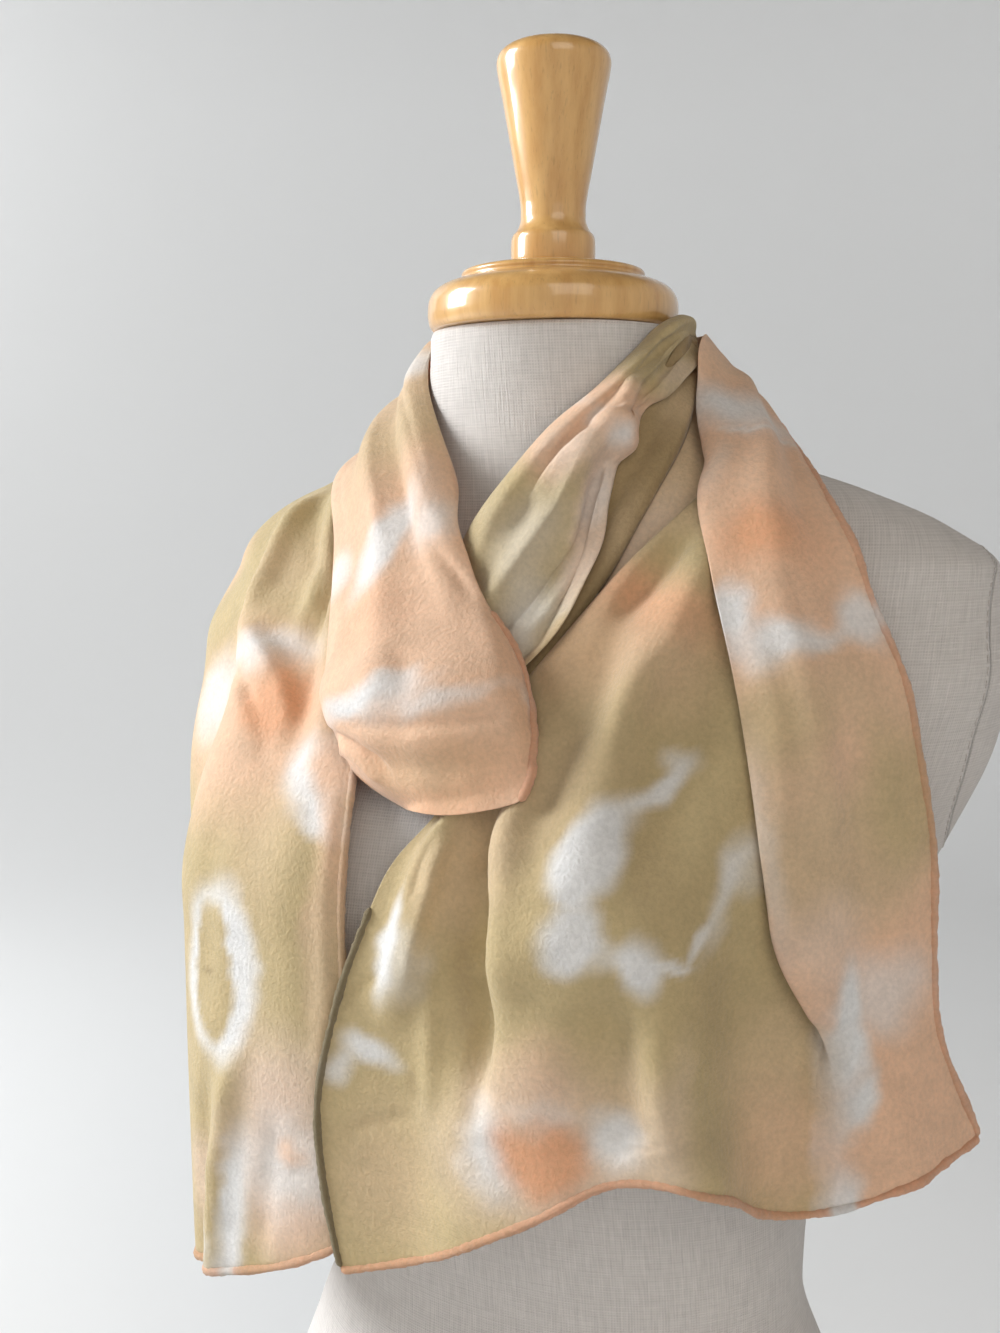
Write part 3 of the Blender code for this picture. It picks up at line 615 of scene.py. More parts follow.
SECOND_END_CREASES = (
    # the pouch
    (1.62, 0.10, 1.94, 1.20, -0.05, 1.8, -3.0),
    (2.20, -0.20, 2.50, 1.25, 0.02, 10, 1.5),
    (0.90, -0.20, 0.95, 1.20, 0.02, 8, -3.5),
    (1.40, -0.10, 0.60, 0.36, 0.08, 2.4, -4.0),
    (1.00, -0.02, 0.45, 0.26, 0.06, 2.4, 2.6),
    (4.75, 0.76, 3.8, 0.96, 0.06, 2.2, -1.4),
    (5.3, 0.52, 3.2, 0.80, 0.08, 5, 1.2),
    (7.6, 0.66, 4.9, 0.96, 0.05, 2.6, -1.6),
    (7.2, 0.24, 4.2, 0.12, -0.06, 4, -1.6),
    (6.6, 0.44, 4.4, 0.34, 0.04, 3, 1.2),
    (3.6, 0.10, 2.2, 0.04, -0.04, 3, -1.4),
    (3.0, 0.42, 2.0, 0.56, 0.06, 4, -1.0),
    # behind the neck
    (8.0, 0.34, 11.4, 0.30, 0.03, 3, -1.8),
    (8.6, 0.84, 12.6, 0.86, -0.02, 2.6, 1.6),
    (9.4, 0.60, 13.0, 0.56, 0.03, 3, -1.4),
    (10.6, 0.14, 13.4, 0.12, 0.04, 2.6, 1.4),
    # the shoulder's stretch
    (13.2, 0.20, 15.6, 0.10, 0.05, 3, 2.0),
    (14.8, 0.76, 15.2, 0.30, -0.05, 1.8, -0.9),
    (16.4, 0.50, 20.4, 0.46, 0.03, 8, -3.2),
    (17.2, 0.80, 20.6, 0.86, 0.02, 6, 1.6),
    (17.4, 0.20, 20.8, 0.24, -0.02, 6, 1.6),
    (20.6, 0.30, 25.5, 0.62, 0.02, 13, 5.0),
)
WIDE_PART_CREASES = (
    # the wide part: its folded top edge and the folds that run down from it
    (0.15, 0.86, 0.60, 0.46, 0.04, 5, -4.0),
    (0.35, 0.86, 1.95, 0.50, 0.05, 7, 4.6),
    (2.4, 0.145, 5.2, 0.165, 0.02, 4, 4.4),
    (2.6, 0.12, 3.8, 0.13, 0.02, 2.6, -2.0),
    (2.0, 0.20, 6.5, 0.39, 0.06, 5, -9.0),
    (2.1, 0.29, 5.4, 0.42, 0.04, 9, 5.0),
    (4.6, 0.20, 6.4, 0.27, 0.05, 4, 1.4),
    (4.2, 0.79, 10.5, 1.00, 0.03, 20, -3.5),
    (4.7, 0.63, 10.0, 0.76, 0.03, 12, 3.0),
    (4.4, 0.57, 7.6, 0.64, 0.04, 9, -5.5),
    (6.45, 0.03, 6.2, 0.26, 0.05, 2, -1.2),
    (5.0, 0.02, 4.5, 0.12, 0.06, 2.2, -1.0),
    (3.84, 0.44, 3.76, 0.54, 0.05, 1.8, -1.0),
    (6.6, 0.34, 7.7, 0.46, 0.04, 4, 1.4),
    (1.4, 0.40, 3.2, 0.36, 0.04, 6, -1.8),
    (1.2, 0.66, 3.6, 0.56, 0.04, 6, -1.4),
)
BAND_CREASES = (
    (0.6, 0.45, 4.2, 0.40, 0.03, 1.8, -1.0),
    (0.3, 0.85, 3.6, 0.80, 0.02, 1.5, 0.7),
)
UNDER_BAND_CREASES = (
    (0.6, 0.50, 3.6, 0.45, 0.03, 2, -0.8),
)
CREASES = {
    "first_end": FIRST_END_CREASES,
    "second_end": SECOND_END_CREASES,
    "wide_part": WIDE_PART_CREASES,
    "band": BAND_CREASES,
    "under_band": UNDER_BAND_CREASES,
}


def quads(index):
    """The four-sided faces of a grid of vertex numbers."""
    corners = (index[:-1, :-1], index[1:, :-1], index[1:, 1:], index[:-1, 1:])
    return np.stack([corner.ravel() for corner in corners], axis=1)


class Sheet:
    """One piece of cloth: its points in millimetres, its faces, and the grids that run over them.

    Each grid is the vertex numbers of its points, their fractions across and their rows along. The grid of
    the wide hem has only its vertex numbers.
    """

    def __init__(self, points, faces, grids):
        self.points = points
        self.faces = faces
        self.grids = grids
        if (self.normals() * points * (1, 1, 0)).sum() < 0:
            self.faces = faces[:, ::-1]

    def normals(self):
        """The direction square to the cloth at each point."""
        a, b, c, d = (self.points[self.faces[:, k]] for k in range(4))
        facing = np.cross(c - a, d - b)
        total = np.zeros_like(self.points)
        for k in range(4):
            np.add.at(total, self.faces[:, k], facing)
        return total / np.maximum(np.linalg.norm(total, axis=1, keepdims=True), 1e-9)

    def smooth(self, passes):
        """Evens out the points; those on an edge of the cloth only move along it."""
        pairs = np.concatenate([self.faces[:, [k, (k + 1) % 4]] for k in range(4)])
        pairs = np.sort(pairs[pairs[:, 0] != pairs[:, 1]], axis=1)
        pairs, used = np.unique(pairs, axis=0, return_counts=True)
        on_edge = np.zeros(len(self.points), bool)
        on_edge[pairs[used == 1].ravel()] = True
        pairs = pairs[(used == 1) | ~on_edge[pairs].any(axis=1) | (on_edge[pairs].sum(axis=1) == 1)]
        first, second = pairs.T
        both_on_edge = on_edge[first] & on_edge[second]
        to_first = both_on_edge | ~on_edge[first]
        to_second = both_on_edge | ~on_edge[second]
        count = np.bincount(first[to_first], minlength=len(self.points)).astype(float)
        count += np.bincount(second[to_second], minlength=len(self.points))
        for _ in range(passes):
            total = np.zeros_like(self.points)
            np.add.at(total, first[to_first], self.points[second[to_first]])
            np.add.at(total, second[to_second], self.points[first[to_second]])
            move = total / np.maximum(count, 1)[:, None] - self.points
            move[count < 2] = 0
            self.points = self.points + 0.5 * move

    def at(self, grid, row, across):
        """The vertex nearest to a row and a fraction across a grid."""
        index, fractions, rows = self.grids[grid]
        return index[np.abs(fractions - across).argmin(), np.abs(rows - row).argmin()]

    def within(self, grid, first, last):
        """The vertices that can be near some rows of a grid, right across the pleat where it has opened."""
        index, _, rows = self.grids[grid]
        near = np.unique(index[:, (rows > first - REACH_ROWS) & (rows < last + REACH_ROWS)])
        if "wide_hem" in self.grids and last > OPEN_FROM[grid]:
            opened = self.grids["wide_part"][2] > OPEN_FROM["wide_part"]
            near = np.union1d(near, self.grids["wide_hem"][0][:, opened])
        return near

    def press(self):
        """Moves the points out or in along the creases of its grids."""
        outward = self.normals()
        moved = np.zeros(len(self.points))
        laid = [(grid, Crease(*values)) for grid in self.grids for values in CREASES.get(grid, ())]
        for grid, crease in laid:
            index = self.within(grid, *sorted((crease.row_from, crease.row_to)))
            first, last = self.grids[grid][2][[0, -1]]
            steps = np.linspace(0, 1, CREASE_STEPS + 1)
            rows = np.clip(crease.row_from + (crease.row_to - crease.row_from) * steps, first, last)
            share = (rows - crease.row_from) / (crease.row_to - crease.row_from)
            across = crease.across_from + (crease.across_to - crease.across_from) * share
            path = self.points[[self.at(grid, r, a) for r, a in zip(rows, across)]]
            chord = path[-1] - path[0]
            halfway = CREASE_STEPS // 2
            aside = np.cross(outward[self.at(grid, rows[halfway], across[halfway])], chord)
            path = path + crease.bow * aside * (4 * share * (1 - share))[:, None]
            near = self.points[index][:, None, :]
            start, run = path[:-1], np.diff(path, axis=0)
            along = ((near - start) * run).sum(-1) / np.maximum((run**2).sum(-1), 1e-9)
            along = np.clip(along, 0, 1)
            apart = np.linalg.norm(near - start - along[..., None] * run, axis=2)
            nearest = apart.argmin(axis=1)
            at = np.arange(len(index))
            place = share[nearest] + along[at, nearest] * np.diff(share)[nearest]
            fade = ease(place / CREASE_FADE) * ease((1 - place) / CREASE_FADE)
            moved[index] += crease.depth * fade * np.exp(-((apart[at, nearest] / crease.half_width) ** 2))
        self.points = self.points + outward * moved[:, None]
        self.smooth(CREASE_SMOOTHING)
        self.keep_off_form()

    def keep_off_form(self):
        """Moves out whatever would sink into the form."""
        across, back, height = self.points.T
        angle = np.degrees(np.arctan2(across, -back))
        least = form_radius(angle, np.clip(height, FORM_BOTTOM, FORM_TOP)) + LEAST_OFF_FORM
        push = np.maximum(least / np.hypot(across, back), 1)
        self.points[:, :2] *= push[:, None]


def first_end_sheet():
    """The scarf's first end, from its hem up round the neck to the drape at the throat."""
    points, rows = run_grid(("left_tail", "neck_back_inner", "cowl"))
    index = np.arange(points.shape[0] * points.shape[1]).reshape(points.shape[:2])
    grids = {"first_end": (index, spaced(by_name("left_tail").across), rows)}
    return Sheet(points.reshape(-1, 3), quads(index), grids)


def second_end_sheet():
    """The scarf's second end: the soft pouch, the turn round the neck and the wide end in front.

    The wide part and the shoulder's stretch are one cloth, folded into a pleat that opens out at the hem.
    """
    skin, laid = laid_scarf()
    run, rows = run_grid(("knot_flap", "neck_back_outer", "shoulder_panel"))
    run_index = np.arange(run.shape[0] * run.shape[1]).reshape(run.shape[:2])
    wide = skin.place(*laid["front_panel"])
    columns = wide.shape[1]
    wide_index = run_index.size + np.arange(wide.shape[0] * columns).reshape(wide.shape[:2])
    turned = np.arange(1, PLEAT_CELLS)[:, None] / PLEAT_CELLS
    inner = [grid[-1] for grid in laid["front_panel"]]
    outer = [grid[-1, -columns:] for grid in laid["shoulder_panel"]]
    outer[0] = outer[0] + 360 * np.round((inner[0] - outer[0]) / 360)
    angle, height, lift = (a + (b - a) * turned for a, b in zip(inner, outer))
    pleat = skin.place(angle, height, lift + PLEAT_FULLNESS * turned * (1 - turned))
    pleat_index = run_index.size + wide_index.size + np.arange(pleat.size // 3).reshape(pleat.shape[:2])
    whole = np.concatenate([wide, pleat, run[::-1, -columns:]])
    whole = opened_pleat(whole, rows_along(by_name("front_panel")), wide.shape[0] + PLEAT_CELLS // 2)
    wide = whole[: wide.shape[0]]
    pleat = whole[wide.shape[0] : wide.shape[0] + PLEAT_CELLS - 1]
    run[:, -columns:] = whole[wide.shape[0] + PLEAT_CELLS - 1 :][::-1]
    points = np.concatenate([run.reshape(-1, 3), wide.reshape(-1, 3), pleat.reshape(-1, 3)])
    beside = run_index[:, -columns:]
    faces = [quads(run_index[::-1]), quads(np.concatenate([wide_index, pleat_index, beside[-1:]]))]
    grids = {
        "second_end": (run_index, spaced(by_name("knot_flap").across), rows),
        "wide_part": (wide_index, spaced(by_name("front_panel").across), rows_along(by_name("front_panel"))),
        "pleat": (pleat_index, turned[:, 0], rows_along(by_name("front_panel"))),
        "wide_hem": (np.concatenate([wide_index, pleat_index, beside[::-1]]), None, None),
    }
    return Sheet(points, np.concatenate(faces), grids)


def opened_pleat(points, rows, middle):
    """Lets the pleat open out towards the hem, where the cloth crosses it in one smooth curve."""
    opening = ease((rows - PLEAT_OPENS) / PLEAT_OPENING)
    for column in np.flatnonzero(opening > 0):
        line = points[:, column]
        steps = np.linalg.norm(np.diff(line, axis=0), axis=1)
        ran = np.concatenate([[0], np.cumsum(steps)])
        ran = ran - ran[middle]
        ends = (-PLEAT_REACH - PLEAT_SLOPE, -PLEAT_REACH, PLEAT_REACH, PLEAT_REACH + PLEAT_SLOPE)
        before, start, end, after = (np.array([np.interp(at, ran, axis) for axis in line.T]) for at in ends)
        chord = np.linalg.norm(end - start)
        inside = np.abs(ran) < PLEAT_REACH
        u = (ran[inside, None] + PLEAT_REACH) / (2 * PLEAT_REACH)
        curve = (2 * u**3 - 3 * u**2 + 1) * start + (3 * u**2 - 2 * u**3) * end
        leaving = (start - before) / PLEAT_SLOPE * chord
        arriving = (after - end) / PLEAT_SLOPE * chord
        curve += (u**3 - 2 * u**2 + u) * leaving + (u**3 - u**2) * arriving
        points[inside, column] += opening[column] * (curve - line[inside])
    return points


def band_sheet(stretch, grid):
    """A narrow stretch of the loop that shows under the throat's drape."""
    skin, laid = laid_scarf()
    points = skin.place(*laid[stretch])
    index = np.arange(points.shape[0] * points.shape[1]).reshape(points.shape[:2])
    grids = {grid: (index, spaced(by_name(stretch).across), rows_along(by_name(stretch)))}
    return Sheet(points.reshape(-1, 3), quads(index), grids)


# ---------------------------------------------------------------- dye, with shade and a highlight painted in

# A soft patch of colour on one grid, mostly dye, a few of them painted shade and a painted highlight: where
# its middle is, how far it reaches along and across in millimetres, its colour, its strength, how soft its
# edge is, its turn in degrees, and for a tied ring how wide the ring is, as a share of its size.
Patch = namedtuple(
    "Patch", "row across along_mm across_mm colour strength softness turn ring", defaults=(0, 0)
)

GROUND = {
    "first_end": "olive",
    "second_end": "peach",
    "wide_part": "olive",
    "band": "dark_olive",
    "under_band": "khaki",
}
FIRST_END_DYES_AND_PAINTED_HIGHLIGHT = (
    # the first end's tail, from the shoulder down
    (7.2, 0.50, 20, 22, "khaki", 0.5, 0.5),
    (5.0, 0.40, 16, 22, "khaki", 0.55, 0.5),
    (4.75, 0.86, 16, 24, "peach", 0.7, 0.4, 10),
    (5.1, 0.12, 20, 10, "peach", 0.5, 0.5),
    (3.5, 0.48, 46, 74, "peach", 0.92, 0.28),
    (4.16, 0.42, 7, 24, "white", 0.9, 0.8, 6),
    (3.70, 0.34, 15, 20, "orange", 0.95, 0.35),
    (3.62, 0.74, 20, 14, "white", 0.8, 0.5, -20),
    (3.12, 0.12, 20, 18, "white", 0.92, 0.25, 8),
    (3.30, 0.06, 14, 10, "peach", 0.9, 0.4),
    (2.86, 0.06, 6, 12, "white", 0.85, 0.5),
    (2.62, 0.22, 24, 17, "khaki", 0.55, 0.6, 10),
    (2.70, 0.03, 34, 7, "peach", 0.85, 0.5),
    (2.5, 0.90, 30, 12, "white", 0.7, 0.5),
    (1.80, 0.045, 46, 8, "khaki", 0.85, 0.5),
    (1.82, 0.30, 38, 23, "white", 0.98, 0.16, 3),
    (1.82, 0.32, 31, 12.5, "olive", 1.0, 0.10, 3),
    (1.82, 0.33, 1.6, 3.4, "dark_olive", 0.7, 0.4),
    (1.5, 0.72, 34, 14, "white", 0.9, 0.5, -4, 0.2),
    (1.12, 0.13, 24, 18, "pink", 0.85, 0.5, 8),
    (0.55, 0.12, 34, 30, "pink", 0.95, 0.35),
    (0.60, 0.11, 20, 22, "white", 0.7, 0.5),
    (0.72, 0.10, 5, 6, "peach", 0.7, 0.5),
    (0.15, 0.10, 12, 20, "peach", 0.45, 0.6),
    (0.32, 0.25, 36, 8, "white", 0.97, 0.35, -12),
    (0.45, 0.36, 22, 9, "pink", 0.7, 0.5, -8),
    (0.12, 0.34, 14, 6, "white", 0.7, 0.5),
    (0.4, 0.80, 30, 16, "peach", 0.8, 0.4),
    # behind the neck
    (8.4, 0.5, 18, 30, "peach", 0.85, 0.4),
    (9.5, 0.5, 9, 26, "white", 0.8, 0.5, 10),
    (11.3, 0.4, 16, 22, "khaki", 0.6, 0.5),
    # the throat's drape
    (14.2, 0.92, 16, 4, "pink", 0.5, 0.6),
    (16.1, 0.34, 17, 26, "peach", 0.95, 0.28),
    (17.1, 0.16, 16, 12, "peach", 0.85, 0.4),
    (17.0, 0.44, 13, 9, "pink", 0.8, 0.5, -30),
    # A painted highlight: white on the knob's crown, where it catches the light.
    (16.34, 0.68, 4.6, 6, "white", 0.9, 0.6, -20),
    (17.7, 0.92, 34, 8, "pink", 0.9, 0.35),
    (17.2, 0.94, 10, 5, "white", 0.45, 0.5),
    (18.5, 0.56, 22, 12, "white", 0.30, 0.6),
    (19.3, 0.80, 15, 10, "white", 0.55, 0.5),
    (19.5, 0.98, 18, 5, "khaki", 0.7, 0.5),
)
BAND_DYES = (
    (1.26, 0.75, 14, 8, "khaki", 0.6, 0.6),
    (3.4, 0.8, 14, 6, "khaki", 0.45, 0.6),
)
UNDER_BAND_DYES = (
    (2.6, 0.5, 22, 12, "pink", 0.6, 0.6),
)
SECOND_END_DYES_AND_PAINTED_SHADE = (
    # the pouch of the second end
    (6.75, 0.72, 34, 30, "khaki", 0.85, 0.30),
    (6.0, 0.74, 18, 26, "olive", 0.5, 0.7),
    (7.35, 0.95, 9, 9, "white", 0.75, 0.5),
    (6.6, 0.14, 22, 10, "pink", 0.5, 0.5),
    (5.35, 0.95, 16, 7, "pink", 0.5, 0.5),
    (4.58, 0.42, 24, 8, "white", 0.9, 0.35, 44),
    (4.15, 0.10, 9, 9, "white", 0.7, 0.5, 30),
    (5.05, 0.88, 9, 10, "white", 0.6, 0.5),
    (3.5, 0.30, 14, 14, "orange", 0.35, 0.6),
    (1.90, 0.26, 4.8, 27, "white", 0.95, 0.5, -3),
    (2.04, 0.66, 4.0, 24, "white", 0.65, 0.6, -3),
    (2.05, 0.99, 4, 3, "white", 0.75, 0.5),
    # The pouch's foot: orange dye, deepened with khaki as painted shade where the cloth turns under.
    (0.75, 0.55, 17, 32, "orange", 0.75, 0.5),
    (0.9, 0.55, 14, 28, "khaki", 0.6, 0.6),
    # behind the neck
    (8.7, 0.5, 20, 30, "olive", 0.7, 0.4),
    (9.9, 0.5, 10, 30, "white", 0.85, 0.45, -12),
    (11.0, 0.5, 15, 30, "orange", 0.5, 0.5),
    (12.2, 0.5, 9, 26, "white", 0.7, 0.5, 8),
    # the shoulder's stretch
    (14.50, 0.66, 11, 24, "white", 0.9, 0.6, 4),
    (14.90, 0.55, 1.2, 15, "white", 0.5, 0.5, -4),
    (13.75, 0.40, 10, 22, "khaki", 0.25, 0.6),
    (15.5, 0.90, 10, 5, "pink", 0.6, 0.5),
    (16.65, 0.62, 13, 15, "orange", 0.95, 0.45),
    (16.9, 0.30, 12, 12, "orange", 0.35, 0.6),
    (18.7, 0.50, 26, 36, "khaki", 0.55, 0.45),
    (17.60, 0.88, 12, 8, "white", 0.95, 0.40, 10),
    (17.88, 0.64, 8, 13, "white", 0.92, 0.45, -8),
    (17.92, 0.36, 4.5, 12, "white", 0.7, 0.5, 6),
    (17.70, 0.10, 9, 9, "white", 0.85, 0.45, 20),
    (18.6, 0.80, 17, 16, "olive", 0.6, 0.5),
    (19.9, 0.50, 30, 40, "khaki", 0.9, 0.35),
    (19.4, 0.12, 26, 18, "olive", 0.75, 0.4),
    (19.9, 0.92, 34, 5, "white", 0.30, 0.5),
    (18.95, 0.42, 13, 8, "peach", 0.6, 0.6),
    (20.75, 0.62, 15, 18, "pink", 0.7, 0.5),
    (21.35, 0.30, 14, 22, "white", 0.62, 0.5),
    (21.5, 0.58, 15, 7, "white", 1.0, 0.4, 25),
    (22.0, 0.80, 17, 7.5, "white", 1.0, 0.35, 24),
    (22.5, 0.97, 20, 8, "white", 1.0, 0.3, 22),
    (23.0, 1.0, 20, 7.5, "white", 1.0, 0.3, 14),
    (22.4, 0.24, 16, 14, "peach", 0.5, 0.6),
)
WIDE_PART_DYES_AND_PAINTED_SHADE = (
    # the wide part
    (0.75, 0.52, 22, 34, "peach", 0.8, 0.5, -40),
    # Painted shade: orange and deep olive laid over the peach below the folded top edge, where the cowl and
    # the pouch shade it.
    (0.35, 0.56, 13, 34, "orange", 0.7, 0.6, -30),
    (0.60, 0.36, 16, 14, "orange", 0.55, 0.6),
    (0.60, 0.40, 18, 20, "dark_olive", 0.5, 0.7),
    # Painted shade: deep olive darkening the wide part's olive where the pouch shades it.
    (1.70, 0.44, 34, 26, "dark_olive", 0.35, 0.7),
    (0.0, 0.74, 8, 24, "khaki", 0.5, 0.5),
    (2.2, 0.38, 34, 20, "khaki", 0.45, 0.6),
    # Painted shade: a narrow deep olive line along the deep trough that runs down the wide part.
    (4.4, 0.285, 52, 5, "dark_olive", 0.6, 0.7, 18),
    (5.0, 0.74, 32, 12, "dark_olive", 0.35, 0.7, 14),
    (3.0, 0.22, 34, 14, "khaki", 0.8, 0.5),
    (3.85, 0.765, 18, 4, "white", 0.6, 0.6, -28),
    (3.62, 0.80, 8, 7, "white", 0.55, 0.5),
    (4.30, 0.705, 8, 2, "white", 0.7, 0.5, -40),
    (4.42, 0.66, 8, 1.8, "white", 0.8, 0.5, 80),
    (3.5, 0.625, 22, 9, "dark_olive", 0.35, 0.5),
    (2.46, 0.69, 4, 8, "white", 0.5, 0.5, -10),
    (2.70, 0.65, 15, 4.2, "white", 0.85, 0.45, -50),
    (3.30, 0.535, 23, 11.5, "white", 0.98, 0.26, -28),
    (3.62, 0.50, 10, 7, "white", 0.9, 0.40),
    (3.86, 0.49, 1.6, 10, "olive", 0.7, 0.5, -6),
    (4.20, 0.505, 13, 12, "white", 0.97, 0.26),
    (4.42, 0.57, 6, 9, "white", 0.55, 0.5),
    (4.46, 0.615, 10.5, 6.5, "white", 0.97, 0.35),
    (4.20, 0.085, 19, 4.6, "white", 0.92, 0.40, 3),
    (4.40, 0.13, 12, 8, "white", 0.45, 0.6),
    (5.50, 0.10, 6.5, 14, "white", 0.92, 0.40, -10),
    (5.62, 0.03, 6, 6, "white", 0.7, 0.5),
    (5.86, 0.23, 5, 3, "dark_olive", 0.5, 0.6),
    (6.9, 0.52, 30, 42, "pink", 0.85, 0.4),
    (6.1, 0.88, 26, 20, "khaki", 0.7, 0.5),
    (7.1, 0.90, 24, 22, "peach", 0.6, 0.5),
    (6.9, 0.14, 26, 22, "khaki", 0.65, 0.5),
    (6.1, 0.62, 20, 10, "khaki", 0.7, 0.5),
    (6.72, 0.41, 16, 12, "white", 0.80, 0.45),
    (6.2, 0.51, 4, 10, "white", 0.5, 0.5),
    (7.0, 0.50, 13, 18, "orange", 0.95, 0.35),
    (6.8, 0.61, 12, 9.5, "white", 0.92, 0.40),
    (5.65, 0.49, 14, 14, "peach", 0.5, 0.6),
    (6.3, 0.68, 24, 6, "pink", 0.35, 0.6),
)
DYE_AND_PAINTED_LIGHT_PATCHES = {
    "first_end": FIRST_END_DYES_AND_PAINTED_HIGHLIGHT,
    "band": BAND_DYES,
    "under_band": UNDER_BAND_DYES,
    "second_end": SECOND_END_DYES_AND_PAINTED_SHADE,
    "wide_part": WIDE_PART_DYES_AND_PAINTED_SHADE,
}
# How far the patches' edges wander and the size of the bends, in millimetres, with finer bends on top.
EDGE_WANDER = 2.0
EDGE_WANDER_SIZE = 40.0
FINER = 3
DYE_SPREAD = 1.5
RIPPLES = 12


def ripple(points, size, seed):
    """Smooth unevenness, mostly between -1 and 1, with bumps about `size` millimetres apart."""
    rng = np.random.default_rng(seed)
    directions = rng.normal(size=(RIPPLES, 3))
    directions /= np.linalg.norm(directions, axis=1, keepdims=True)
    pace = 2 * math.pi / size * rng.uniform(0.7, 1.5, RIPPLES)
    return np.sin(points @ directions.T * pace + rng.uniform(0, 2 * math.pi, RIPPLES)).sum(axis=-1) / 3


def dyed(sheet, colours):
    """The dye's colour at each point of a sheet, with the painted shade and painted highlight patches laid
    in.
    """
    colour = np.zeros((len(sheet.points), 3))
    coarse, fine = (
        np.stack([ripple(sheet.points, size, seed) for seed in seeds], axis=1)
        for size, seeds in ((EDGE_WANDER_SIZE, (11, 12)), (EDGE_WANDER_SIZE / FINER, (13, 14)))
    )
    wander = coarse + fine / FINER
    for name, (index, *_) in sheet.grids.items():
        if name in GROUND:
            colour[index] = colours[GROUND[name]]
    for grid, patch in [(grid, Patch(*values)) for grid in sheet.grids for values in DYE_AND_PAINTED_LIGHT_PATCHES.get(grid, ())]:
        index, across, rows = sheet.grids[grid]
        i = np.clip(np.abs(across - patch.across).argmin(), 1, index.shape[0] - 2)
        j = np.clip(np.abs(rows - patch.row).argmin(), 1, index.shape[1] - 2)
        middle = sheet.points[sheet.at(grid, patch.row, patch.across)]
        along = sheet.points[index[i, j + 1]] - sheet.points[index[i, j - 1]]
        aside = sheet.points[index[i + 1, j]] - sheet.points[index[i - 1, j]]
        along /= np.linalg.norm(along)
        aside -= along * (aside @ along)
        aside /= np.linalg.norm(aside)
        near = sheet.within(grid, patch.row, patch.row)
        apart = sheet.points[near] - middle
        run = apart @ along + EDGE_WANDER * wander[near, 0]
        side = apart @ aside + EDGE_WANDER * wander[near, 1]
        turn = math.radians(patch.turn)
        lengthways = (run * math.cos(turn) + side * math.sin(turn)) / patch.along_mm
        sideways = (side * math.cos(turn) - run * math.sin(turn)) / patch.across_mm
        distance = np.hypot(lengthways, sideways)
        if patch.ring:
            share = np.exp(-(((distance - 1) / patch.ring) ** 2))
        else:
            soft = DYE_SPREAD * patch.softness
            share = ease((1 + soft - distance) / (2 * soft))
        share = (patch.strength * share)[:, None]
        colour[near] = colour[near] * (1 - share) + np.array(colours[patch.colour]) * share
    if "pleat" in sheet.grids:
        index, turned, _ = sheet.grids["pleat"]
        wide = colour[sheet.grids["wide_part"][0][-1]]
        beside = colour[sheet.grids["second_end"][0][-1, -index.shape[1] :]]
        colour[index] = wide + (beside - wide) * turned[:, None, None]
    return colour


# ---------------------------------------------------------------- rolled hems

# A rolled hem along one edge of a grid: where it starts and ends, as shares of the edge, its colour, and the
# share of that colour in the dye.
Hem = namedtuple("Hem", "grid edge start end colour share")
HEMS = {
    "first_end": (
        Hem("first_end", "start", 0.0, 1.0, "hem_peach", 0.6),
        Hem("first_end", "b", 0.0, 0.27, "hem_peach", 0.2),
        Hem("first_end", "a", 0.0, 0.27, "hem_peach", 0.2),
    ),
    "second_end": (
        Hem("wide_hem", "end", 0.0, 1.0, "hem_peach", 0.75),
        Hem("wide_part", "a", 0.47, 1.0, "hem_olive", 0.85),
        Hem("second_end", "b", 0.0, 0.16, "hem_peach", 0.7),
        Hem("second_end", "a", 0.5, 1.0, "hem_peach", 0.5),
    ),
}
HEM_STEP = 1.3
HEM_SIDES = 8
HEM_STITCH = 4.2
HEM_FLATNESS = 1.15
HEM_END_TAPER = 1.5
# Where the cloth's blue comes this near to white the hem stays undyed, and over how much more it fades in.
UNDYED_MARGIN = 0.06
UNDYED_FADE = 0.2


def edge_of(sheet, hem):
    """The vertices along a hem's stretch of edge."""
    index = sheet.grids[hem.grid][0]
    edge = {"a": index[0], "b": index[-1], "start": index[:, 0], "end": index[:, -1]}[hem.edge]
    count = len(edge) - 1
    return edge[round(hem.start * count) : round(hem.end * count) + 1]


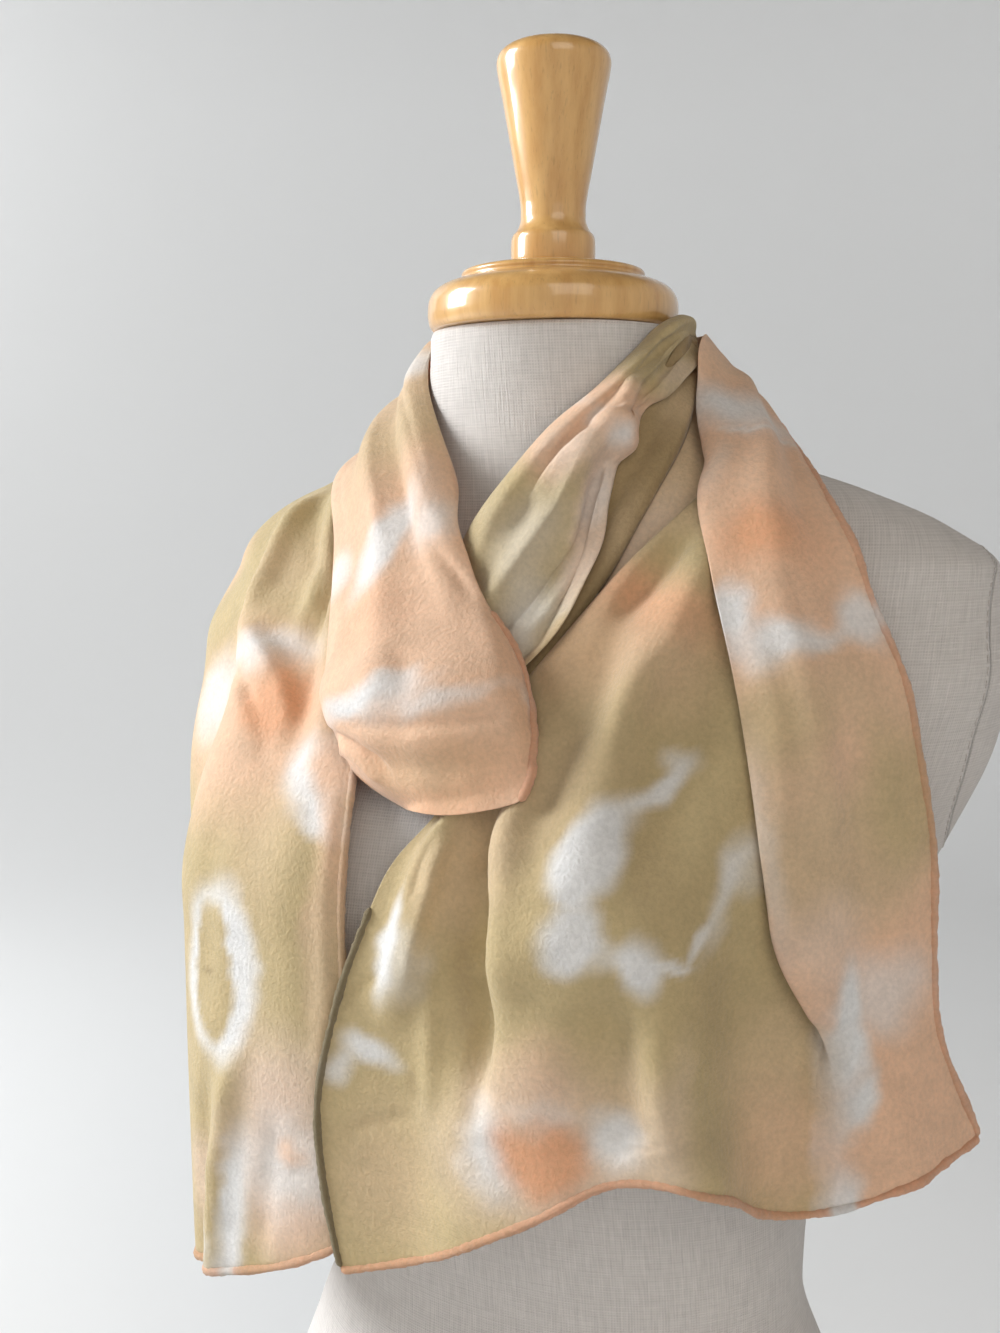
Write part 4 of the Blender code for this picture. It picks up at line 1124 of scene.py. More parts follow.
def hem_tube(sheet, colour, outward, hem, colours, radius):
    """A rolled hem along an edge: points, faces and dye, a little uneven, pinched by each stitch."""
    edge = edge_of(sheet, hem)
    path, dye, square = sheet.points[edge], colour[edge], outward[edge]
    ran = np.concatenate([[0], np.cumsum(np.linalg.norm(np.diff(path, axis=0), axis=1))])
    at = np.linspace(0, ran[-1], max(int(ran[-1] / HEM_STEP), 4))

    def along(values):
        return np.stack([np.interp(at, ran, values[:, k]) for k in range(3)], axis=1)

    path, dye, square = along(path), along(dye), along(square)
    ahead = np.gradient(path, axis=0)
    ahead /= np.linalg.norm(ahead, axis=1, keepdims=True)
    square -= ahead * (square * ahead).sum(axis=1, keepdims=True)
    square /= np.maximum(np.linalg.norm(square, axis=1, keepdims=True), 1e-9)
    aside = np.cross(ahead, square)
    turn = np.arange(HEM_SIDES) * 2 * math.pi / HEM_SIDES
    size = radius * (1 + 0.13 * ripple(path, 19, 21) + 0.08 * ripple(path, 6, 22))
    size *= np.clip(np.minimum(at, at[-1] - at) / HEM_END_TAPER, 0.35, 1)
    pinch = 1 - 0.12 * np.cos(turn + 2 * math.pi * at[:, None] / HEM_STITCH) ** 6
    reach = (size[:, None] * pinch)[..., None]
    out = np.cos(turn)[:, None] * square[:, None] + HEM_FLATNESS * np.sin(turn)[:, None] * aside[:, None]
    points = path[:, None] + reach * out
    index = np.arange(len(at) * HEM_SIDES).reshape(len(at), HEM_SIDES)
    faces = quads(np.concatenate([index, index[:, :1]], axis=1))
    dyed_share = hem.share * ease((colours["white"][2] - UNDYED_MARGIN - dye[:, 2:]) / UNDYED_FADE)
    shade = dye * (1 - dyed_share) + np.array(colours[hem.colour]) * dyed_share
    shade = np.repeat(shade[:, None], HEM_SIDES, axis=1)
    return points.reshape(-1, 3), faces, shade.reshape(-1, 3)


# ---------------------------------------------------------------- the form, its wood and the room

# radius, height of the turned wood, from the underside up
CAP_TURNING = (
    (48, 651.9), (52.8, 652.4), (54.7, 654.6), (55.4, 659), (55.2, 663.5), (53.4, 668), (49.6, 671.2),
    (44.5, 673.2), (41.4, 674.1), (40.3, 674.5), (40.1, 675.3), (40.5, 676.4), (39.9, 677.6),
    (38.2, 678.3), (30, 679.4), (16, 680), (0, 680),
)
FINIAL_TURNING = (
    (16.2, 680.3), (17.9, 680.9), (18.5, 683), (18.6, 687), (18.5, 691), (17.9, 693.4), (16.4, 695.2),
    (15.1, 697.6), (14.3, 701), (14.3, 705), (14.9, 710), (17.1, 722), (19.8, 737), (22.5, 752),
    (24.6, 762.5), (25.0, 766), (24.4, 769), (22.2, 771.7), (17.5, 773.9), (9, 775.2), (0, 775.5),
)
TURNING_SIDES = 96
TORSO_SIDES = 200
TORSO_STEP = 2.6
BOARD_INSET = 6.0
BOARD_ROUNDING = 3.0
BOARD_TOP_ROUNDING = 1.2
SHARP_ANGLE = 40
TORSO_ROUNDING = (1.5, 1.0)

# The seam round each arm plate: its middle along Y and up, and its half sizes.
PLATE_MIDDLE = (32.0, 494.0)
PLATE_SIZE = (40.0, 63.0)
PLATE_STITCH = 4.0
STITCH_OUTSIDE = 2.2
STITCH_HALF = 0.3
STITCH_RADIUS = 0.22
# The arm plates lie farther out than this; nearer the middle, their seam counts as NO_SEAM away.
PLATES_BEYOND = 90
NO_SEAM = 60.0


def ring(radius, height, sides, middle_y=0.0):
    """A level ring of points; the radius is one number or one for each side."""
    angle = np.arange(sides) * 2 * math.pi / sides
    radius = np.broadcast_to(radius, angle.shape)
    level = np.full(angle.shape, float(height))
    return np.stack([radius * np.sin(angle), middle_y - radius * np.cos(angle), level], axis=1)


def side_angles(sides):
    """The angle of each side, from -180 to 180 degrees."""
    angle = np.arange(sides) * 360 / sides
    return np.where(angle > 180, angle - 360, angle)


def ringed_body(rings):
    """Points and faces of a closed body through level rings."""
    count, sides = len(rings), len(rings[0])
    index = np.arange(count * sides).reshape(count, sides)
    index = np.concatenate([index, index[:, :1]], axis=1)
    faces = [tuple(face) for face in quads(index)[:, ::-1].tolist()]
    faces.append(tuple(index[0, :-1].tolist())[::-1])
    faces.append(tuple(index[-1, :-1].tolist()))
    return np.concatenate(rings), faces


def finer(profile, cells=6):
    """The profile on a smooth curve through its points."""
    at = np.linspace(0, len(profile) - 1, (len(profile) - 1) * cells + 1)
    radius, height = (curve_through(range(len(profile)), column, at) for column in zip(*profile))
    return np.maximum(radius, 0.05), height


def plate_distance(points):
    """How far each point lies outside the arm plate's seam, in millimetres, the nearer side's."""
    along = (points[:, 1] - PLATE_MIDDLE[0]) / PLATE_SIZE[0]
    upward = (points[:, 2] - PLATE_MIDDLE[1]) / PLATE_SIZE[1]
    size = np.hypot(along, upward)
    distance = (size - 1) * sum(PLATE_SIZE) / 2
    return np.where(np.abs(points[:, 0]) > PLATES_BEYOND, distance, NO_SEAM)


# ---------------------------------------------------------------- materials


def new_material(name):
    """A material with no nodes yet, and its node tree."""
    material = bpy.data.materials.new(name)
    material.use_nodes = True
    material.node_tree.nodes.clear()
    return material, material.node_tree


def add_node(tree, kind, inputs=None, **settings):
    """A shader node with its settings, and with each named input set or linked."""
    node = tree.nodes.new("ShaderNode" + kind)
    for key, value in settings.items():
        setattr(node, key, value)
    for key, value in (inputs or {}).items():
        if isinstance(value, bpy.types.NodeSocket):
            tree.links.new(value, node.inputs[key])
        else:
            node.inputs[key].default_value = value
    return node


def noise(tree, place, scale, detail, roughness=0.5):
    """Cloudy unevenness from 0 to 1."""
    inputs = {"Vector": place, "Scale": scale, "Detail": detail, "Roughness": roughness}
    return add_node(tree, "TexNoise", inputs).outputs["Fac"]


def math_node(tree, operation, first, second):
    """One sum of two values or sockets."""
    return add_node(tree, "Math", {0: first, 1: second}, operation=operation).outputs[0]


def ranged(tree, value, low, high, to_low, to_high):
    """A value moved from one range to another, and held within it."""
    inputs = {"Value": value, "From Min": low, "From Max": high, "To Min": to_low, "To Max": to_high}
    return add_node(tree, "MapRange", inputs).outputs[0]


def woven(tree, place, thread, wander):
    """Threads that cross over and under each other, `thread` metres apart."""
    sets = []
    for direction in ("X", "Y"):
        inputs = {"Vector": place, "Scale": 0.314 / thread, "Distortion": wander, "Detail": 1.0}
        sets.append(add_node(tree, "TexWave", inputs, bands_direction=direction).outputs["Fac"])
    return math_node(tree, "MAXIMUM", *sets)


def bumped(tree, height, strength, distance):
    """The facing of a surface with fine relief."""
    inputs = {"Strength": strength, "Distance": distance, "Height": height}
    return add_node(tree, "Bump", inputs).outputs["Normal"]


def stretched(tree, vector, scale):
    """A place scaled along each axis."""
    return add_node(tree, "Mapping", {"Vector": vector, "Scale": scale}).outputs[0]


def surfaced(tree, **inputs):
    """The main surface; an underscore in an input's name stands for a space."""
    inputs = {name.replace("_", " "): value for name, value in inputs.items()}
    return add_node(tree, "BsdfPrincipled", inputs).outputs[0]


def finish(tree, surface):
    """Makes a surface the material's own."""
    add_node(tree, "OutputMaterial", {"Surface": surface})


def scaled(tree, vector, scale):
    """A colour made lighter or darker."""
    return add_node(tree, "VectorMath", {0: vector, "Scale": scale}, operation="SCALE").outputs[0]


def chiffon_material(cloth):
    """Crepe chiffon: a pebbled, faintly woven grain, a soft sheen, and some light let through."""
    material, tree = new_material("dyed_chiffon")
    place = add_node(tree, "TexCoord").outputs["Object"]
    cut = add_node(tree, "UVMap", uv_map="cut").outputs["UV"]
    # The dye attribute holds the dye with the painted shade and painted highlight patches laid into it.
    dye = add_node(tree, "Attribute", attribute_name="dye").outputs["Color"]
    cloudy = ranged(tree, noise(tree, place, 70.0, 6.0, 0.62), 0.3, 0.7, 0.93, 1.05)
    grain = noise(tree, place, 1.0 / cloth.grain, 3.0, 0.6)
    pebbled = ranged(tree, grain, 0.35, 0.65, 0.94, 1.04)
    colour = scaled(tree, dye, math_node(tree, "MULTIPLY", cloudy, pebbled))
    weave = woven(tree, cut, cloth.thread, 0.6)
    relief = math_node(tree, "ADD", grain, math_node(tree, "MULTIPLY", weave, 0.12))
    bump = bumped(tree, relief, 0.7, 0.0009)
    surface = surfaced(
        tree,
        Base_Color=colour,
        Roughness=0.68,
        Specular_IOR_Level=0.28,
        Sheen_Weight=0.34,
        Sheen_Roughness=0.42,
        Normal=bump,
    )
    deeper = add_node(tree, "Gamma", {"Color": colour, "Gamma": 1.8}).outputs[0]
    through = add_node(tree, "BsdfTranslucent", {"Color": deeper, "Normal": bump}).outputs[0]
    finish(tree, add_node(tree, "MixShader", {0: cloth.translucency, 1: surface, 2: through}).outputs[0])
    return material


def linen_material(form):
    """Stiff linen with slubbed threads, and a sewn seam round each arm plate."""
    material, tree = new_material("form_linen")
    cut = add_node(tree, "UVMap", uv_map="cut").outputs["UV"]
    place = add_node(tree, "TexCoord").outputs["Object"]
    upright = stretched(tree, cut, (900.0, 70.0, 1.0))
    level = stretched(tree, cut, (70.0, 900.0, 1.0))
    slubs = math_node(
        tree,
        "ADD",
        math_node(tree, "MULTIPLY", noise(tree, upright, 1.0, 2.0), 0.6),
        math_node(tree, "MULTIPLY", noise(tree, level, 1.0, 2.0), 0.4),
    )
    weave = woven(tree, cut, form.thread, 0.4)
    threads = math_node(tree, "ADD", slubs, math_node(tree, "MULTIPLY", weave, 0.3))
    seam = add_node(tree, "Attribute", attribute_name="seam").outputs["Fac"]
    sunk = ranged(tree, math_node(tree, "ABSOLUTE", seam, 0.0), 0.0, 1.3, 0.0, 1.0)
    sunk = math_node(tree, "MINIMUM", sunk, 1.0)
    height = math_node(tree, "ADD", threads, math_node(tree, "MULTIPLY", sunk, 2.2))
    bump = bumped(tree, height, 0.8, 0.0006)
    tone = ranged(tree, threads, 0.4, 0.95, 0.78, 1.08)
    aged = ranged(tree, noise(tree, place, 9.0, 4.0), 0.3, 0.7, 0.96, 1.03)
    tone = math_node(tree, "MULTIPLY", tone, aged)
    tone = math_node(tree, "MULTIPLY", tone, ranged(tree, sunk, 0.0, 1.0, 0.72, 1.0))
    colour = scaled(tree, tuple(form.linen), tone)
    finish(
        tree,
        surfaced(
            tree, Base_Color=colour, Roughness=0.86, Specular_IOR_Level=0.2, Sheen_Weight=0.1, Normal=bump
        ),
    )
    return material


def wood_material(name, light, dark, gloss):
    """Turned beech: upright grain with fine flecks, under varnish where it has any."""
    material, tree = new_material(name)
    place = add_node(tree, "TexCoord").outputs["Object"]
    grain_place = stretched(tree, place, (150.0, 150.0, 12.0))
    grain = noise(tree, grain_place, 1.0, 5.0, 0.6)
    fleck_place = stretched(tree, place, (1100.0, 1100.0, 160.0))
    flecks = ranged(tree, noise(tree, fleck_place, 1.0, 2.0), 0.58, 0.72, 1.0, 0.86)
    share = ranged(tree, grain, 0.33, 0.67, 0.0, 1.0)
    ramp = add_node(tree, "ValToRGB", {"Fac": share})
    ramp.color_ramp.elements[0].color = (*dark, 1)
    ramp.color_ramp.elements[1].color = (*light, 1)
    surface = surfaced(
        tree,
        Base_Color=scaled(tree, ramp.outputs["Color"], flecks),
        Roughness=0.42 - 0.12 * gloss,
        Specular_IOR_Level=0.45,
        Coat_Weight=gloss,
        Coat_Roughness=0.09,
        Normal=bumped(tree, grain, 0.12, 0.0003),
    )
    finish(tree, surface)
    return material


def thread_material(name, colour):
    """Twisted sewing thread."""
    material, tree = new_material(name)
    place = add_node(tree, "TexCoord").outputs["Object"]
    twist = noise(tree, place, 2600.0, 1.0)
    colour = scaled(tree, colour, ranged(tree, twist, 0.3, 0.7, 0.85, 1.05))
    finish(tree, surfaced(tree, Base_Color=colour, Roughness=0.7, Normal=bumped(tree, twist, 0.5, 0.0002)))
    return material


def plain_material(name, colour):
    """The matt paint of the room."""
    material, tree = new_material(name)
    finish(tree, surfaced(tree, Base_Color=(*colour, 1), Roughness=0.9))
    return material


# ---------------------------------------------------------------- objects


def add_piece(name, points, faces, material, slot=None):
    """An object of points in millimetres; given a slot, it rides on the part's one body."""
    mesh = bpy.data.meshes.new(name)
    mesh.from_pydata((points * MM).tolist(), [], [list(face) for face in faces])
    mesh.shade_smooth()
    mesh.materials.append(material)
    piece = bpy.data.objects.new(name, mesh)
    bpy.context.scene.collection.objects.link(piece)
    if slot:
        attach(piece, "root")
    return piece


def set_colours(piece, name, colours):
    """A colour for each point of a piece."""
    attribute = piece.data.color_attributes.new(name, "FLOAT_COLOR", "POINT")
    values = np.concatenate([colours, np.ones((len(colours), 1))], axis=1)
    attribute.data.foreach_set("color", values.astype(np.float32).ravel())


def set_cut(piece, places):
    """Where each point lies on the flat cut, in metres, for the weave to follow."""
    layer = piece.data.uv_layers.new(name="cut")
    corners = np.empty(len(piece.data.loops), np.int32)
    piece.data.loops.foreach_get("vertex_index", corners)
    layer.data.foreach_set("uv", places[corners].astype(np.float32).ravel())


def cut_places(sheet):
    """Each point's place on the flat cut, in metres; the wide part follows on from the pleat beside it."""
    places = np.zeros((len(sheet.points), 2))
    for name in sheet.grids:
        if name not in ("pleat", "wide_hem"):
            index, across, _ = sheet.grids[name]
            width, steps = cut_sizes(sheet.points[index])
            length = np.concatenate([[0], np.cumsum(steps)])
            places[index] = np.stack(np.broadcast_arrays(across[:, None] * width, length), axis=-1) * MM
    if "pleat" in sheet.grids:
        joined = sheet.grids["wide_hem"][0]
        columns = joined.shape[1]
        beside = places[sheet.grids["second_end"][0][-1, -columns:]]
        last = joined.shape[0] - sheet.grids["second_end"][0].shape[0]
        steps = np.linalg.norm(np.diff(sheet.points[joined[: last + 1]], axis=0), axis=2).mean(axis=1)
        apart = np.concatenate([np.cumsum(steps[::-1])[::-1], [0]]) * MM
        places[joined[:last], 0] = beside[0, 0] + apart[:last, None]
        places[joined[:last], 1] = beside[:, 1]
    return places


def cut_sizes(points):
    """How wide a grid of points is, and the length of each step along it."""
    width = np.linalg.norm(np.diff(points, axis=0), axis=2).sum(axis=0).mean()
    return width, np.linalg.norm(np.diff(points, axis=1), axis=2).mean(axis=0)


def add_cloth(name, sheet, cloth, material, replaced):
    """A sheet of cloth as a thin shell, with its dye and the shade and highlight painted into it."""
    colour = dyed(sheet, palette(cloth))
    piece = add_piece(name, sheet.points, sheet.faces.tolist(), material, "chiffon")
    set_colours(piece, "dye", colour)
    set_cut(piece, cut_places(sheet))
    shell = piece.modifiers.new("cloth_thickness", "SOLIDIFY")
    shell.thickness = cloth.thickness
    shell.offset = 0
    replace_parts(piece, *replaced)
    return piece, colour


def add_hems(name, sheet, colour, hems, cloth, material):
    """The rolled hems of a sheet, as one piece."""
    outward = sheet.normals()
    points, faces, shades = [], [], []
    start = 0
    for hem in hems:
        tube, around, shade = hem_tube(sheet, colour, outward, hem, palette(cloth), cloth.hem / MM)
        points.append(tube)
        faces.extend((around + start).tolist())
        count = len(tube)
        faces.append(list(range(start, start + HEM_SIDES))[::-1])
        faces.append(list(range(start + count - HEM_SIDES, start + count)))
        shades.append(shade)
        start += count
    piece = add_piece(name, np.concatenate(points), faces, material, "chiffon")
    set_colours(piece, "dye", np.concatenate(shades))
    piece.data.uv_layers.new(name="cut")
    return piece


def add_end(name, sheet, cloth, material, replaced):
    """One end of the scarf, creased and dyed, and its rolled hems."""
    sheet.smooth(END_SMOOTHING)
    sheet.press()
    piece, colour = add_cloth(name, sheet, cloth, material, replaced)
    return piece, add_hems(name + "_hem", sheet, colour, HEMS[name], cloth, material)


def palette(cloth):
    """The dye colours by name."""
    names = "white pink peach orange khaki olive dark_olive hem_peach hem_olive".split()
    return {name: tuple(getattr(cloth, name)) for name in names}


# ---------------------------------------------------------------- settings that a user would change


def colour_setting(name, description, default):
    """A colour that can be changed."""
    return bpy.props.FloatVectorProperty(
        name=name, description=description, default=default, size=3, min=0, max=1, subtype="COLOR"
    )


def length_setting(name, description, default, least, most):
    """A length in metres."""
    return bpy.props.FloatProperty(
        name=name,
        description=description,
        default=default,
        min=least,
        max=most,
        precision=5,
        subtype="DISTANCE",
        unit="LENGTH",
    )


def share_setting(name, description, default):
    """A share from 0 to 1."""
    return bpy.props.FloatProperty(
        name=name, description=description, default=default, min=0, max=1, subtype="FACTOR"
    )


def power_setting(name, description, default):
    """The power of a light."""
    return bpy.props.FloatProperty(name=name, description=description, default=default, min=0, unit="POWER")


class ClothSettings(bpy.types.PropertyGroup):
    """The chiffon, its dyes and its hems."""

    thickness: length_setting("Cloth thickness", "Thickness of the chiffon", 0.0004, 0.0001, 0.003)
    hem: length_setting("Rolled hem radius", "Half the thickness of a rolled hem", 0.0016, 0.0004, 0.003)
    grain: length_setting("Crepe grain", "Size of the crepe's pebbles", 0.0019, 0.0004, 0.01)
    thread: length_setting("Thread spacing", "Distance between two threads", 0.00045, 0.0002, 0.003)
    translucency: share_setting("Translucency", "Share of the light that passes into the cloth", 0.20)
    white: colour_setting("Undyed", "Silk that the dye did not reach", (0.92, 0.91, 0.90))
    pink: colour_setting("Pale pink", "Thin peach dye", (0.92, 0.72, 0.57))
    peach: colour_setting("Peach", "The peach dye", (0.92, 0.62, 0.42))
    orange: colour_setting("Orange", "Where the peach dye is strongest", (0.89, 0.47, 0.26))
    khaki: colour_setting("Khaki", "Where olive and peach run together", (0.75, 0.56, 0.35))
    olive: colour_setting("Olive", "The olive dye", (0.63, 0.49, 0.26))
    dark_olive: colour_setting("Deep olive", "Where the olive dye is strongest", (0.45, 0.32, 0.16))
    hem_peach: colour_setting("Peach hem", "Dye caught in the rolled hem", (0.90, 0.47, 0.28))
    hem_olive: colour_setting("Olive hem", "Olive dye caught in the rolled hem", (0.23, 0.18, 0.10))


class FormSettings(bpy.types.PropertyGroup):
    """The dress form and its wood."""

    linen: colour_setting("Linen", "The form's cover", (0.66, 0.62, 0.59))
    thread: length_setting("Linen thread", "Distance between two threads", 0.0012, 0.0003, 0.005)
    light_wood: colour_setting("Light grain", "The wood's light grain", (0.74, 0.45, 0.17))
    dark_wood: colour_setting("Dark grain", "The wood's dark grain", (0.60, 0.32, 0.10))
    varnish: share_setting("Varnish", "How much varnish is on the turned wood", 0.9)


class StudioSettings(bpy.types.PropertyGroup):
    """The room, its light and the camera."""

    floor: colour_setting("Floor and wall", "Paint of the floor and the wall", (0.74, 0.74, 0.74))
    window: power_setting("Window light", "Power of the light at the left", 68.0)
    fill: power_setting("Fill light", "Power of the light in front", 16.0)
    wall: power_setting("Wall light", "Power of the light on the wall", 14.0)
    sky: bpy.props.FloatProperty(name="Room light", description="Light from all round", default=0.08, min=0)


# ---------------------------------------------------------------- operators


class SCARF_OT_first_end(bpy.types.Operator):
    """Build the first end, which hangs at the form's right and winds up round the neck"""

    bl_idname = "scarf.first_end"
    bl_label = "First end"

    def execute(self, context):
        cloth = context.scene.scarf_cloth
        material = chiffon_material(cloth)
        replaced = ("left_tail", "neck_back_inner", "cowl")
        piece, hem = add_end("first_end", first_end_sheet(), cloth, material, replaced)
        return {"FINISHED"}


class SCARF_OT_second_end(bpy.types.Operator):
    """Build the second end, from the soft pouch in front round the neck to the wide end"""

    bl_idname = "scarf.second_end"
    bl_label = "Second end"

    def execute(self, context):
        cloth = context.scene.scarf_cloth
        material = bpy.data.materials["dyed_chiffon"]
        replaced = ("knot_flap", "neck_back_outer", "shoulder_panel", "front_panel")
        piece, hem = add_end("second_end", second_end_sheet(), cloth, material, replaced)
        return {"FINISHED"}


class SCARF_OT_loop_bands(bpy.types.Operator):
    """Build the two narrow stretches of the loop that show under the throat's drape"""

    bl_idname = "scarf.loop_bands"
    bl_label = "Loop's inner bands"

    def execute(self, context):
        cloth = context.scene.scarf_cloth
        material = bpy.data.materials["dyed_chiffon"]
        bands = (("inner_band", "band", "loop_band"), ("under_band", "under_band", "loop_under_band"))
        for stretch, grid, name in bands:
            sheet = band_sheet(stretch, grid)
            sheet.smooth(BAND_SMOOTHING)
            sheet.press()
            piece, _ = add_cloth(name, sheet, cloth, material, (stretch,))
        return {"FINISHED"}


class SCARF_OT_dress_form(bpy.types.Operator):
    """Build the padded form with its linen cover, and the board that it stands on"""

    bl_idname = "scarf.dress_form"
    bl_label = "Dress form"

    def execute(self, context):
        form = context.scene.scarf_form
        angles = side_angles(TORSO_SIDES)
        count = round((FORM_TOP - FORM_BOTTOM) / TORSO_STEP)
        heights = np.linspace(FORM_BOTTOM, FORM_TOP, count)
        radii = form_radius(angles[None, :], heights[:, None])
        radii[[0, -1]] -= np.array(TORSO_ROUNDING)[:, None]
        rings = [ring(radius, height, TORSO_SIDES) for radius, height in zip(radii, heights)]
        points, faces = ringed_body(rings)
        torso = add_piece("dress_form", points, faces, linen_material(form), "linen")
        # The cover's own seam runs down the back, halfway along each ring.
        half = TORSO_SIDES // 2
        turned = np.roll(np.stack(rings), half, axis=1)
        steps = np.linalg.norm(np.diff(turned, axis=1), axis=2)
        around = np.concatenate([np.zeros((count, 1)), np.cumsum(steps, axis=1)], axis=1)
        around = np.roll(around - around[:, half : half + 1], -half, axis=1)
        places = np.stack([around.ravel(), np.repeat(heights, TORSO_SIDES)], axis=1) * MM
        set_cut(torso, places)
        seam = torso.data.attributes.new("seam", "FLOAT", "POINT")
        seam.data.foreach_set("value", plate_distance(points).astype(np.float32))
        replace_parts(torso, "form_torso")
        self.add_plate_stitches(form)
        self.add_board(form, angles)
        return {"FINISHED"}

    def add_plate_stitches(self, form):
        """Short stitches just outside each arm plate's seam."""
        points, faces = [], []
        spacing = PLATE_STITCH / np.mean(PLATE_SIZE)
        turn = np.arange(0, 2 * math.pi, spacing)
        for side in (-1, 1):
            for at in turn:
                ends = []
                for step in (-STITCH_HALF, STITCH_HALF):
                    around = at + step * spacing
                    y = PLATE_MIDDLE[0] + (PLATE_SIZE[0] + STITCH_OUTSIDE) * math.sin(around)
                    height = PLATE_MIDDLE[1] + (PLATE_SIZE[1] + STITCH_OUTSIDE) * math.cos(around)
                    ends.append(on_form(side, y, height))
                start = len(points) * 8
                points.append(stitch(*ends, STITCH_RADIUS))
                faces += [[start + k for k in face] for face in STITCH_FACES]
        material = thread_material("plate_thread", tuple(form.linen))
        add_piece("arm_plate_stitches", np.concatenate(points), faces, material, "linen")

    def add_board(self, form, angles):
        """The flat board under the torso, rounded at both edges."""
        outline = form_radius(angles, 0.0) - BOARD_INSET
        rings = []
        for t in np.linspace(0, math.pi / 2, 6):
            radius = outline - BOARD_ROUNDING * (1 - math.sin(t))
            rings.append(ring(radius, BOARD_ROUNDING * (1 - math.cos(t)), TORSO_SIDES))
        for t in np.linspace(0, math.pi / 2, 6):
            radius = outline - BOARD_TOP_ROUNDING * (1 - math.cos(t))
            height = BASE_BOARD_HEIGHT - BOARD_TOP_ROUNDING * (1 - math.sin(t))
            rings.append(ring(radius, height, TORSO_SIDES))
        points, faces = ringed_body(rings)
        wood = wood_material("board_wood", form.light_wood, form.dark_wood, 0.2)
        board = add_piece("base_board_finished", points, faces, wood, "plain_wood")
        board.data.set_sharp_from_angle(angle=math.radians(SHARP_ANGLE))
        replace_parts(board, "base_board")


STITCH_FACES = (
    (0, 1, 2, 3), (7, 6, 5, 4), (0, 4, 5, 1), (1, 5, 6, 2), (2, 6, 7, 3), (3, 7, 4, 0),
)


def on_form(side, y, height):
    """The point of the form's side at a place along Y and a height."""
    angle = 90.0
    for _ in range(12):
        radius = float(form_radius(angle, height))
        angle = math.degrees(math.acos(max(-1.0, min(1.0, -y / radius))))
    radius = float(form_radius(angle, height))
    turn = math.radians(angle)
    return np.array([side * radius * math.sin(turn), -radius * math.cos(turn), height])


def stitch(start, end, radius):
    """Eight corners of a short square thread from start to end, standing a little off the form."""
    ahead = (end - start) / np.linalg.norm(end - start)
    outward = start * (1, 1, 0)
    outward = outward - ahead * (outward @ ahead)
    outward /= np.linalg.norm(outward)
    aside = np.cross(ahead, outward)
    corners = []
    for point in (start, end):
        for a, b in ((-1, -1), (1, -1), (1, 1), (-1, 1)):
            corners.append(point + radius * (a * aside + (b + 0.6) * outward))
    return np.array(corners)


class SCARF_OT_turned_wood(bpy.types.Operator):
    """Build the varnished neck cap and the finial that stands on it"""

    bl_idname = "scarf.turned_wood"
    bl_label = "Neck cap and finial"

    def execute(self, context):
        form = context.scene.scarf_form
        wood = wood_material("varnished_beech", form.light_wood, form.dark_wood, form.varnish)
        turnings = (
            ("neck_cap_turned", CAP_TURNING, "neck_cap"),
            ("finial_turned", FINIAL_TURNING, "finial"),
        )
        for name, profile, node in turnings:
            radii, heights = finer(profile)
            rings = [ring(r, h, TURNING_SIDES, NECK_AXIS_Y) for r, h in zip(radii, heights)]
            points, faces = ringed_body(rings)
            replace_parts(add_piece(name, points, faces, wood, "varnished_wood"), node)
        return {"FINISHED"}


# The camera's place in millimetres, its tilt and turn in degrees, and its lens.
CAMERA_PLACE = (305.2, -593.9, 577.0)
CAMERA_TILT = 83.5
CAMERA_TURN = 30.07
CAMERA_LENS = 38.78
# The soft lights: the setting that holds their power, their place, what they face and their size, in metres,
# and their colour.
Light = namedtuple("Light", "name setting place aim size colour")
LIGHTS = (
    Light("window_light", "window", (-1.85, -0.75, 1.35), (0.0, -0.02, 0.48), (0.9, 1.2), (0.95, 0.98, 1.0)),
    Light("fill_light", "fill", (1.5, -1.5, 1.9), (0.0, -0.02, 0.48), (1.6, 1.6), (1.0, 0.91, 0.80)),
    Light("wall_light", "wall", (-2.4, 0.7, 1.7), (-2.2, 2.4, 1.9), (1.0, 1.4), (0.95, 0.98, 1.0)),
)
FLOOR_HEIGHT = -0.2
FLOOR_RADIUS = 1500.0
WALL_RADIUS = 3000.0
WALL_TOP = 3200.0
ROOM_SIDES = 96
# The radius of the floor's first ring, as small as a ring can be.
FLOOR_OPENING = 0.05
SKY_COLOUR = (1.0, 0.92, 0.82, 1)
SENSOR_WIDTH = 36.0


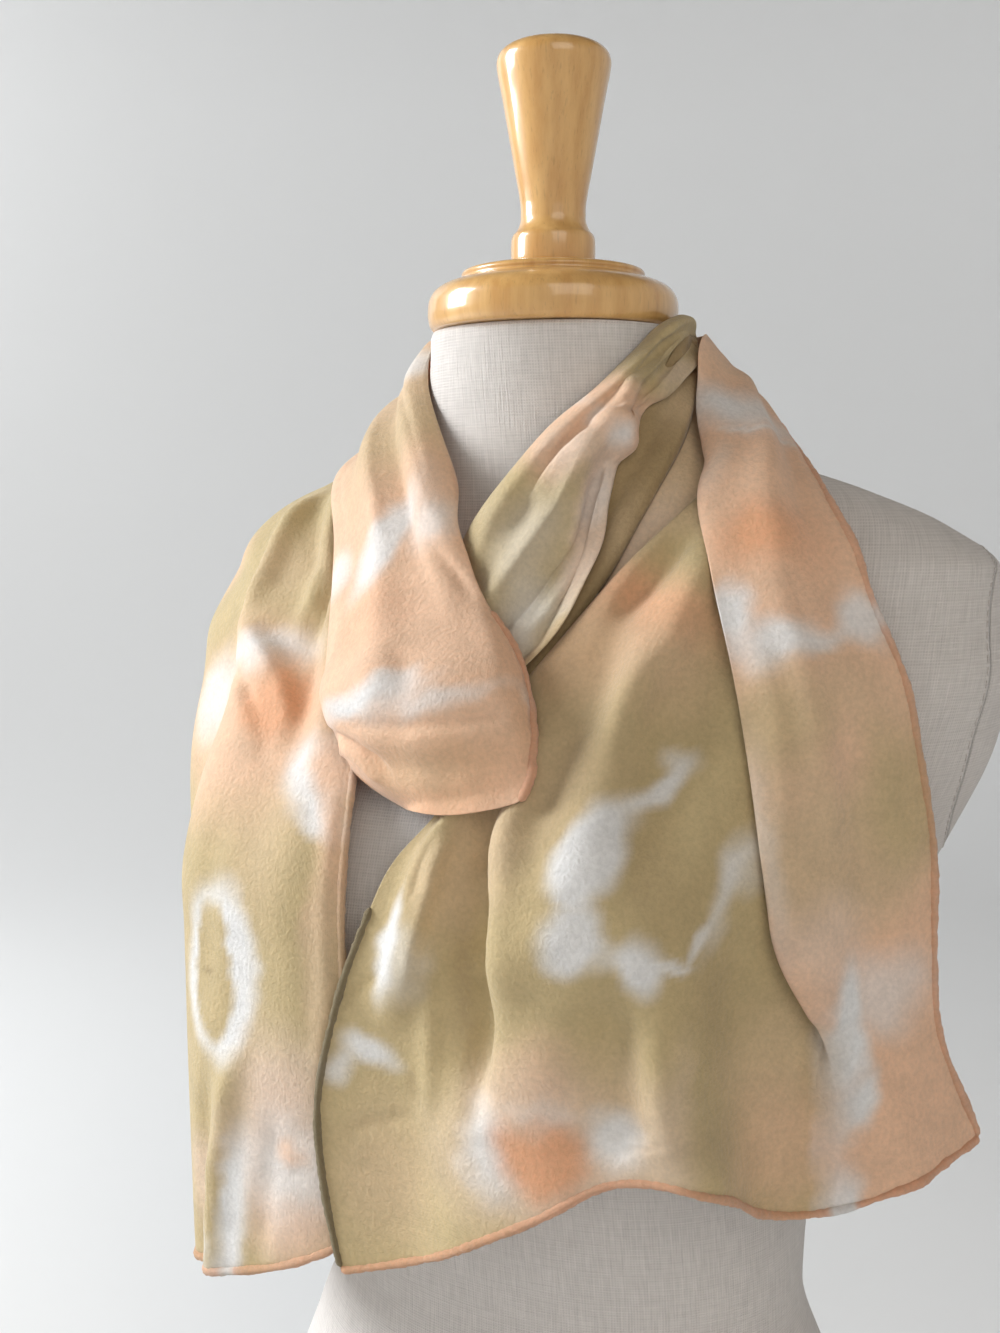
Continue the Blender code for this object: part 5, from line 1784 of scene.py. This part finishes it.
class SCARF_OT_studio(bpy.types.Operator):
    """Build the pale floor and wall, the soft lights and the camera"""

    bl_idname = "scarf.studio"
    bl_label = "Studio"

    def execute(self, context):
        studio = context.scene.scarf_studio
        turn = np.linspace(0, math.pi / 2, 16)
        bend = WALL_RADIUS - FLOOR_RADIUS
        profile = [(FLOOR_OPENING, FLOOR_HEIGHT), (FLOOR_RADIUS / 2, FLOOR_HEIGHT)]
        for t in turn:
            profile.append((FLOOR_RADIUS + bend * math.sin(t), FLOOR_HEIGHT + bend * (1 - math.cos(t))))
        profile.append((WALL_RADIUS, WALL_TOP))
        rings = [ring(radius, height, ROOM_SIDES) for radius, height in profile]
        points, faces = ringed_body(rings)
        room = add_piece("floor_and_wall", points, faces[:-2], plain_material("room_paint", studio.floor))
        for light in LIGHTS:
            self.add_light(light, getattr(studio, light.setting))
        world = bpy.data.worlds.new("studio_sky")
        world.use_nodes = True
        background = world.node_tree.nodes["Background"]
        background.inputs["Color"].default_value = SKY_COLOUR
        background.inputs["Strength"].default_value = studio.sky
        context.scene.world = world
        context.scene.view_settings.view_transform = "Standard"
        data = bpy.data.cameras.new("studio_camera")
        data.lens = CAMERA_LENS
        data.sensor_width = SENSOR_WIDTH
        camera = bpy.data.objects.new("studio_camera", data)
        camera.location = [value * MM for value in CAMERA_PLACE]
        camera.rotation_euler = (math.radians(CAMERA_TILT), 0, math.radians(CAMERA_TURN))
        context.scene.collection.objects.link(camera)
        context.scene.camera = camera
        return {"FINISHED"}

    def add_light(self, light, power):
        """A soft rectangular light."""
        data = bpy.data.lights.new(light.name, "AREA")
        data.shape = "RECTANGLE"
        data.size, data.size_y = light.size
        data.energy = power
        data.color = light.colour
        lamp = bpy.data.objects.new(light.name, data)
        lamp.location = light.place
        aim = np.array(light.aim) - np.array(light.place)
        flat = math.hypot(aim[0], aim[1])
        lamp.rotation_euler = (math.pi / 2 + math.atan2(aim[2], flat), 0, math.atan2(-aim[0], aim[1]))
        bpy.context.scene.collection.objects.link(lamp)


class SCARF_PT_panel(bpy.types.Panel):
    """The scarf's settings and the buttons that build each piece"""

    bl_label = "Chiffon scarf"
    bl_idname = "SCARF_PT_panel"
    bl_space_type = "VIEW_3D"
    bl_region_type = "UI"
    bl_category = "Scarf"

    def draw(self, context):
        scene = context.scene
        groups = (
            (scene.scarf_cloth, (SCARF_OT_first_end, SCARF_OT_second_end, SCARF_OT_loop_bands)),
            (scene.scarf_form, (SCARF_OT_dress_form, SCARF_OT_turned_wood)),
            (scene.scarf_studio, (SCARF_OT_studio,)),
        )
        for settings, operators in groups:
            box = self.layout.box()
            for name in settings.__annotations__:
                box.prop(settings, name)
            for operator in operators:
                box.operator(operator.bl_idname)


SETTINGS = {"scarf_cloth": ClothSettings, "scarf_form": FormSettings, "scarf_studio": StudioSettings}
OPERATORS = (
    SCARF_OT_dress_form,
    SCARF_OT_turned_wood,
    SCARF_OT_first_end,
    SCARF_OT_second_end,
    SCARF_OT_loop_bands,
    SCARF_OT_studio,
)


def register():
    for name, group in SETTINGS.items():
        bpy.utils.register_class(group)
        setattr(bpy.types.Scene, name, bpy.props.PointerProperty(type=group))
    for cls in (*OPERATORS, SCARF_PT_panel):
        bpy.utils.register_class(cls)


def unregister():
    for cls in (SCARF_PT_panel, *reversed(OPERATORS)):
        bpy.utils.unregister_class(cls)
    for name, group in reversed(SETTINGS.items()):
        delattr(bpy.types.Scene, name)
        bpy.utils.unregister_class(group)


def main():
    register()
    bpy.ops.scarf.dress_form()
    bpy.ops.scarf.turned_wood()
    bpy.ops.scarf.first_end()
    bpy.ops.scarf.second_end()
    bpy.ops.scarf.loop_bands()
    bpy.ops.scarf.studio()


if __name__ == "__main__":
    main()
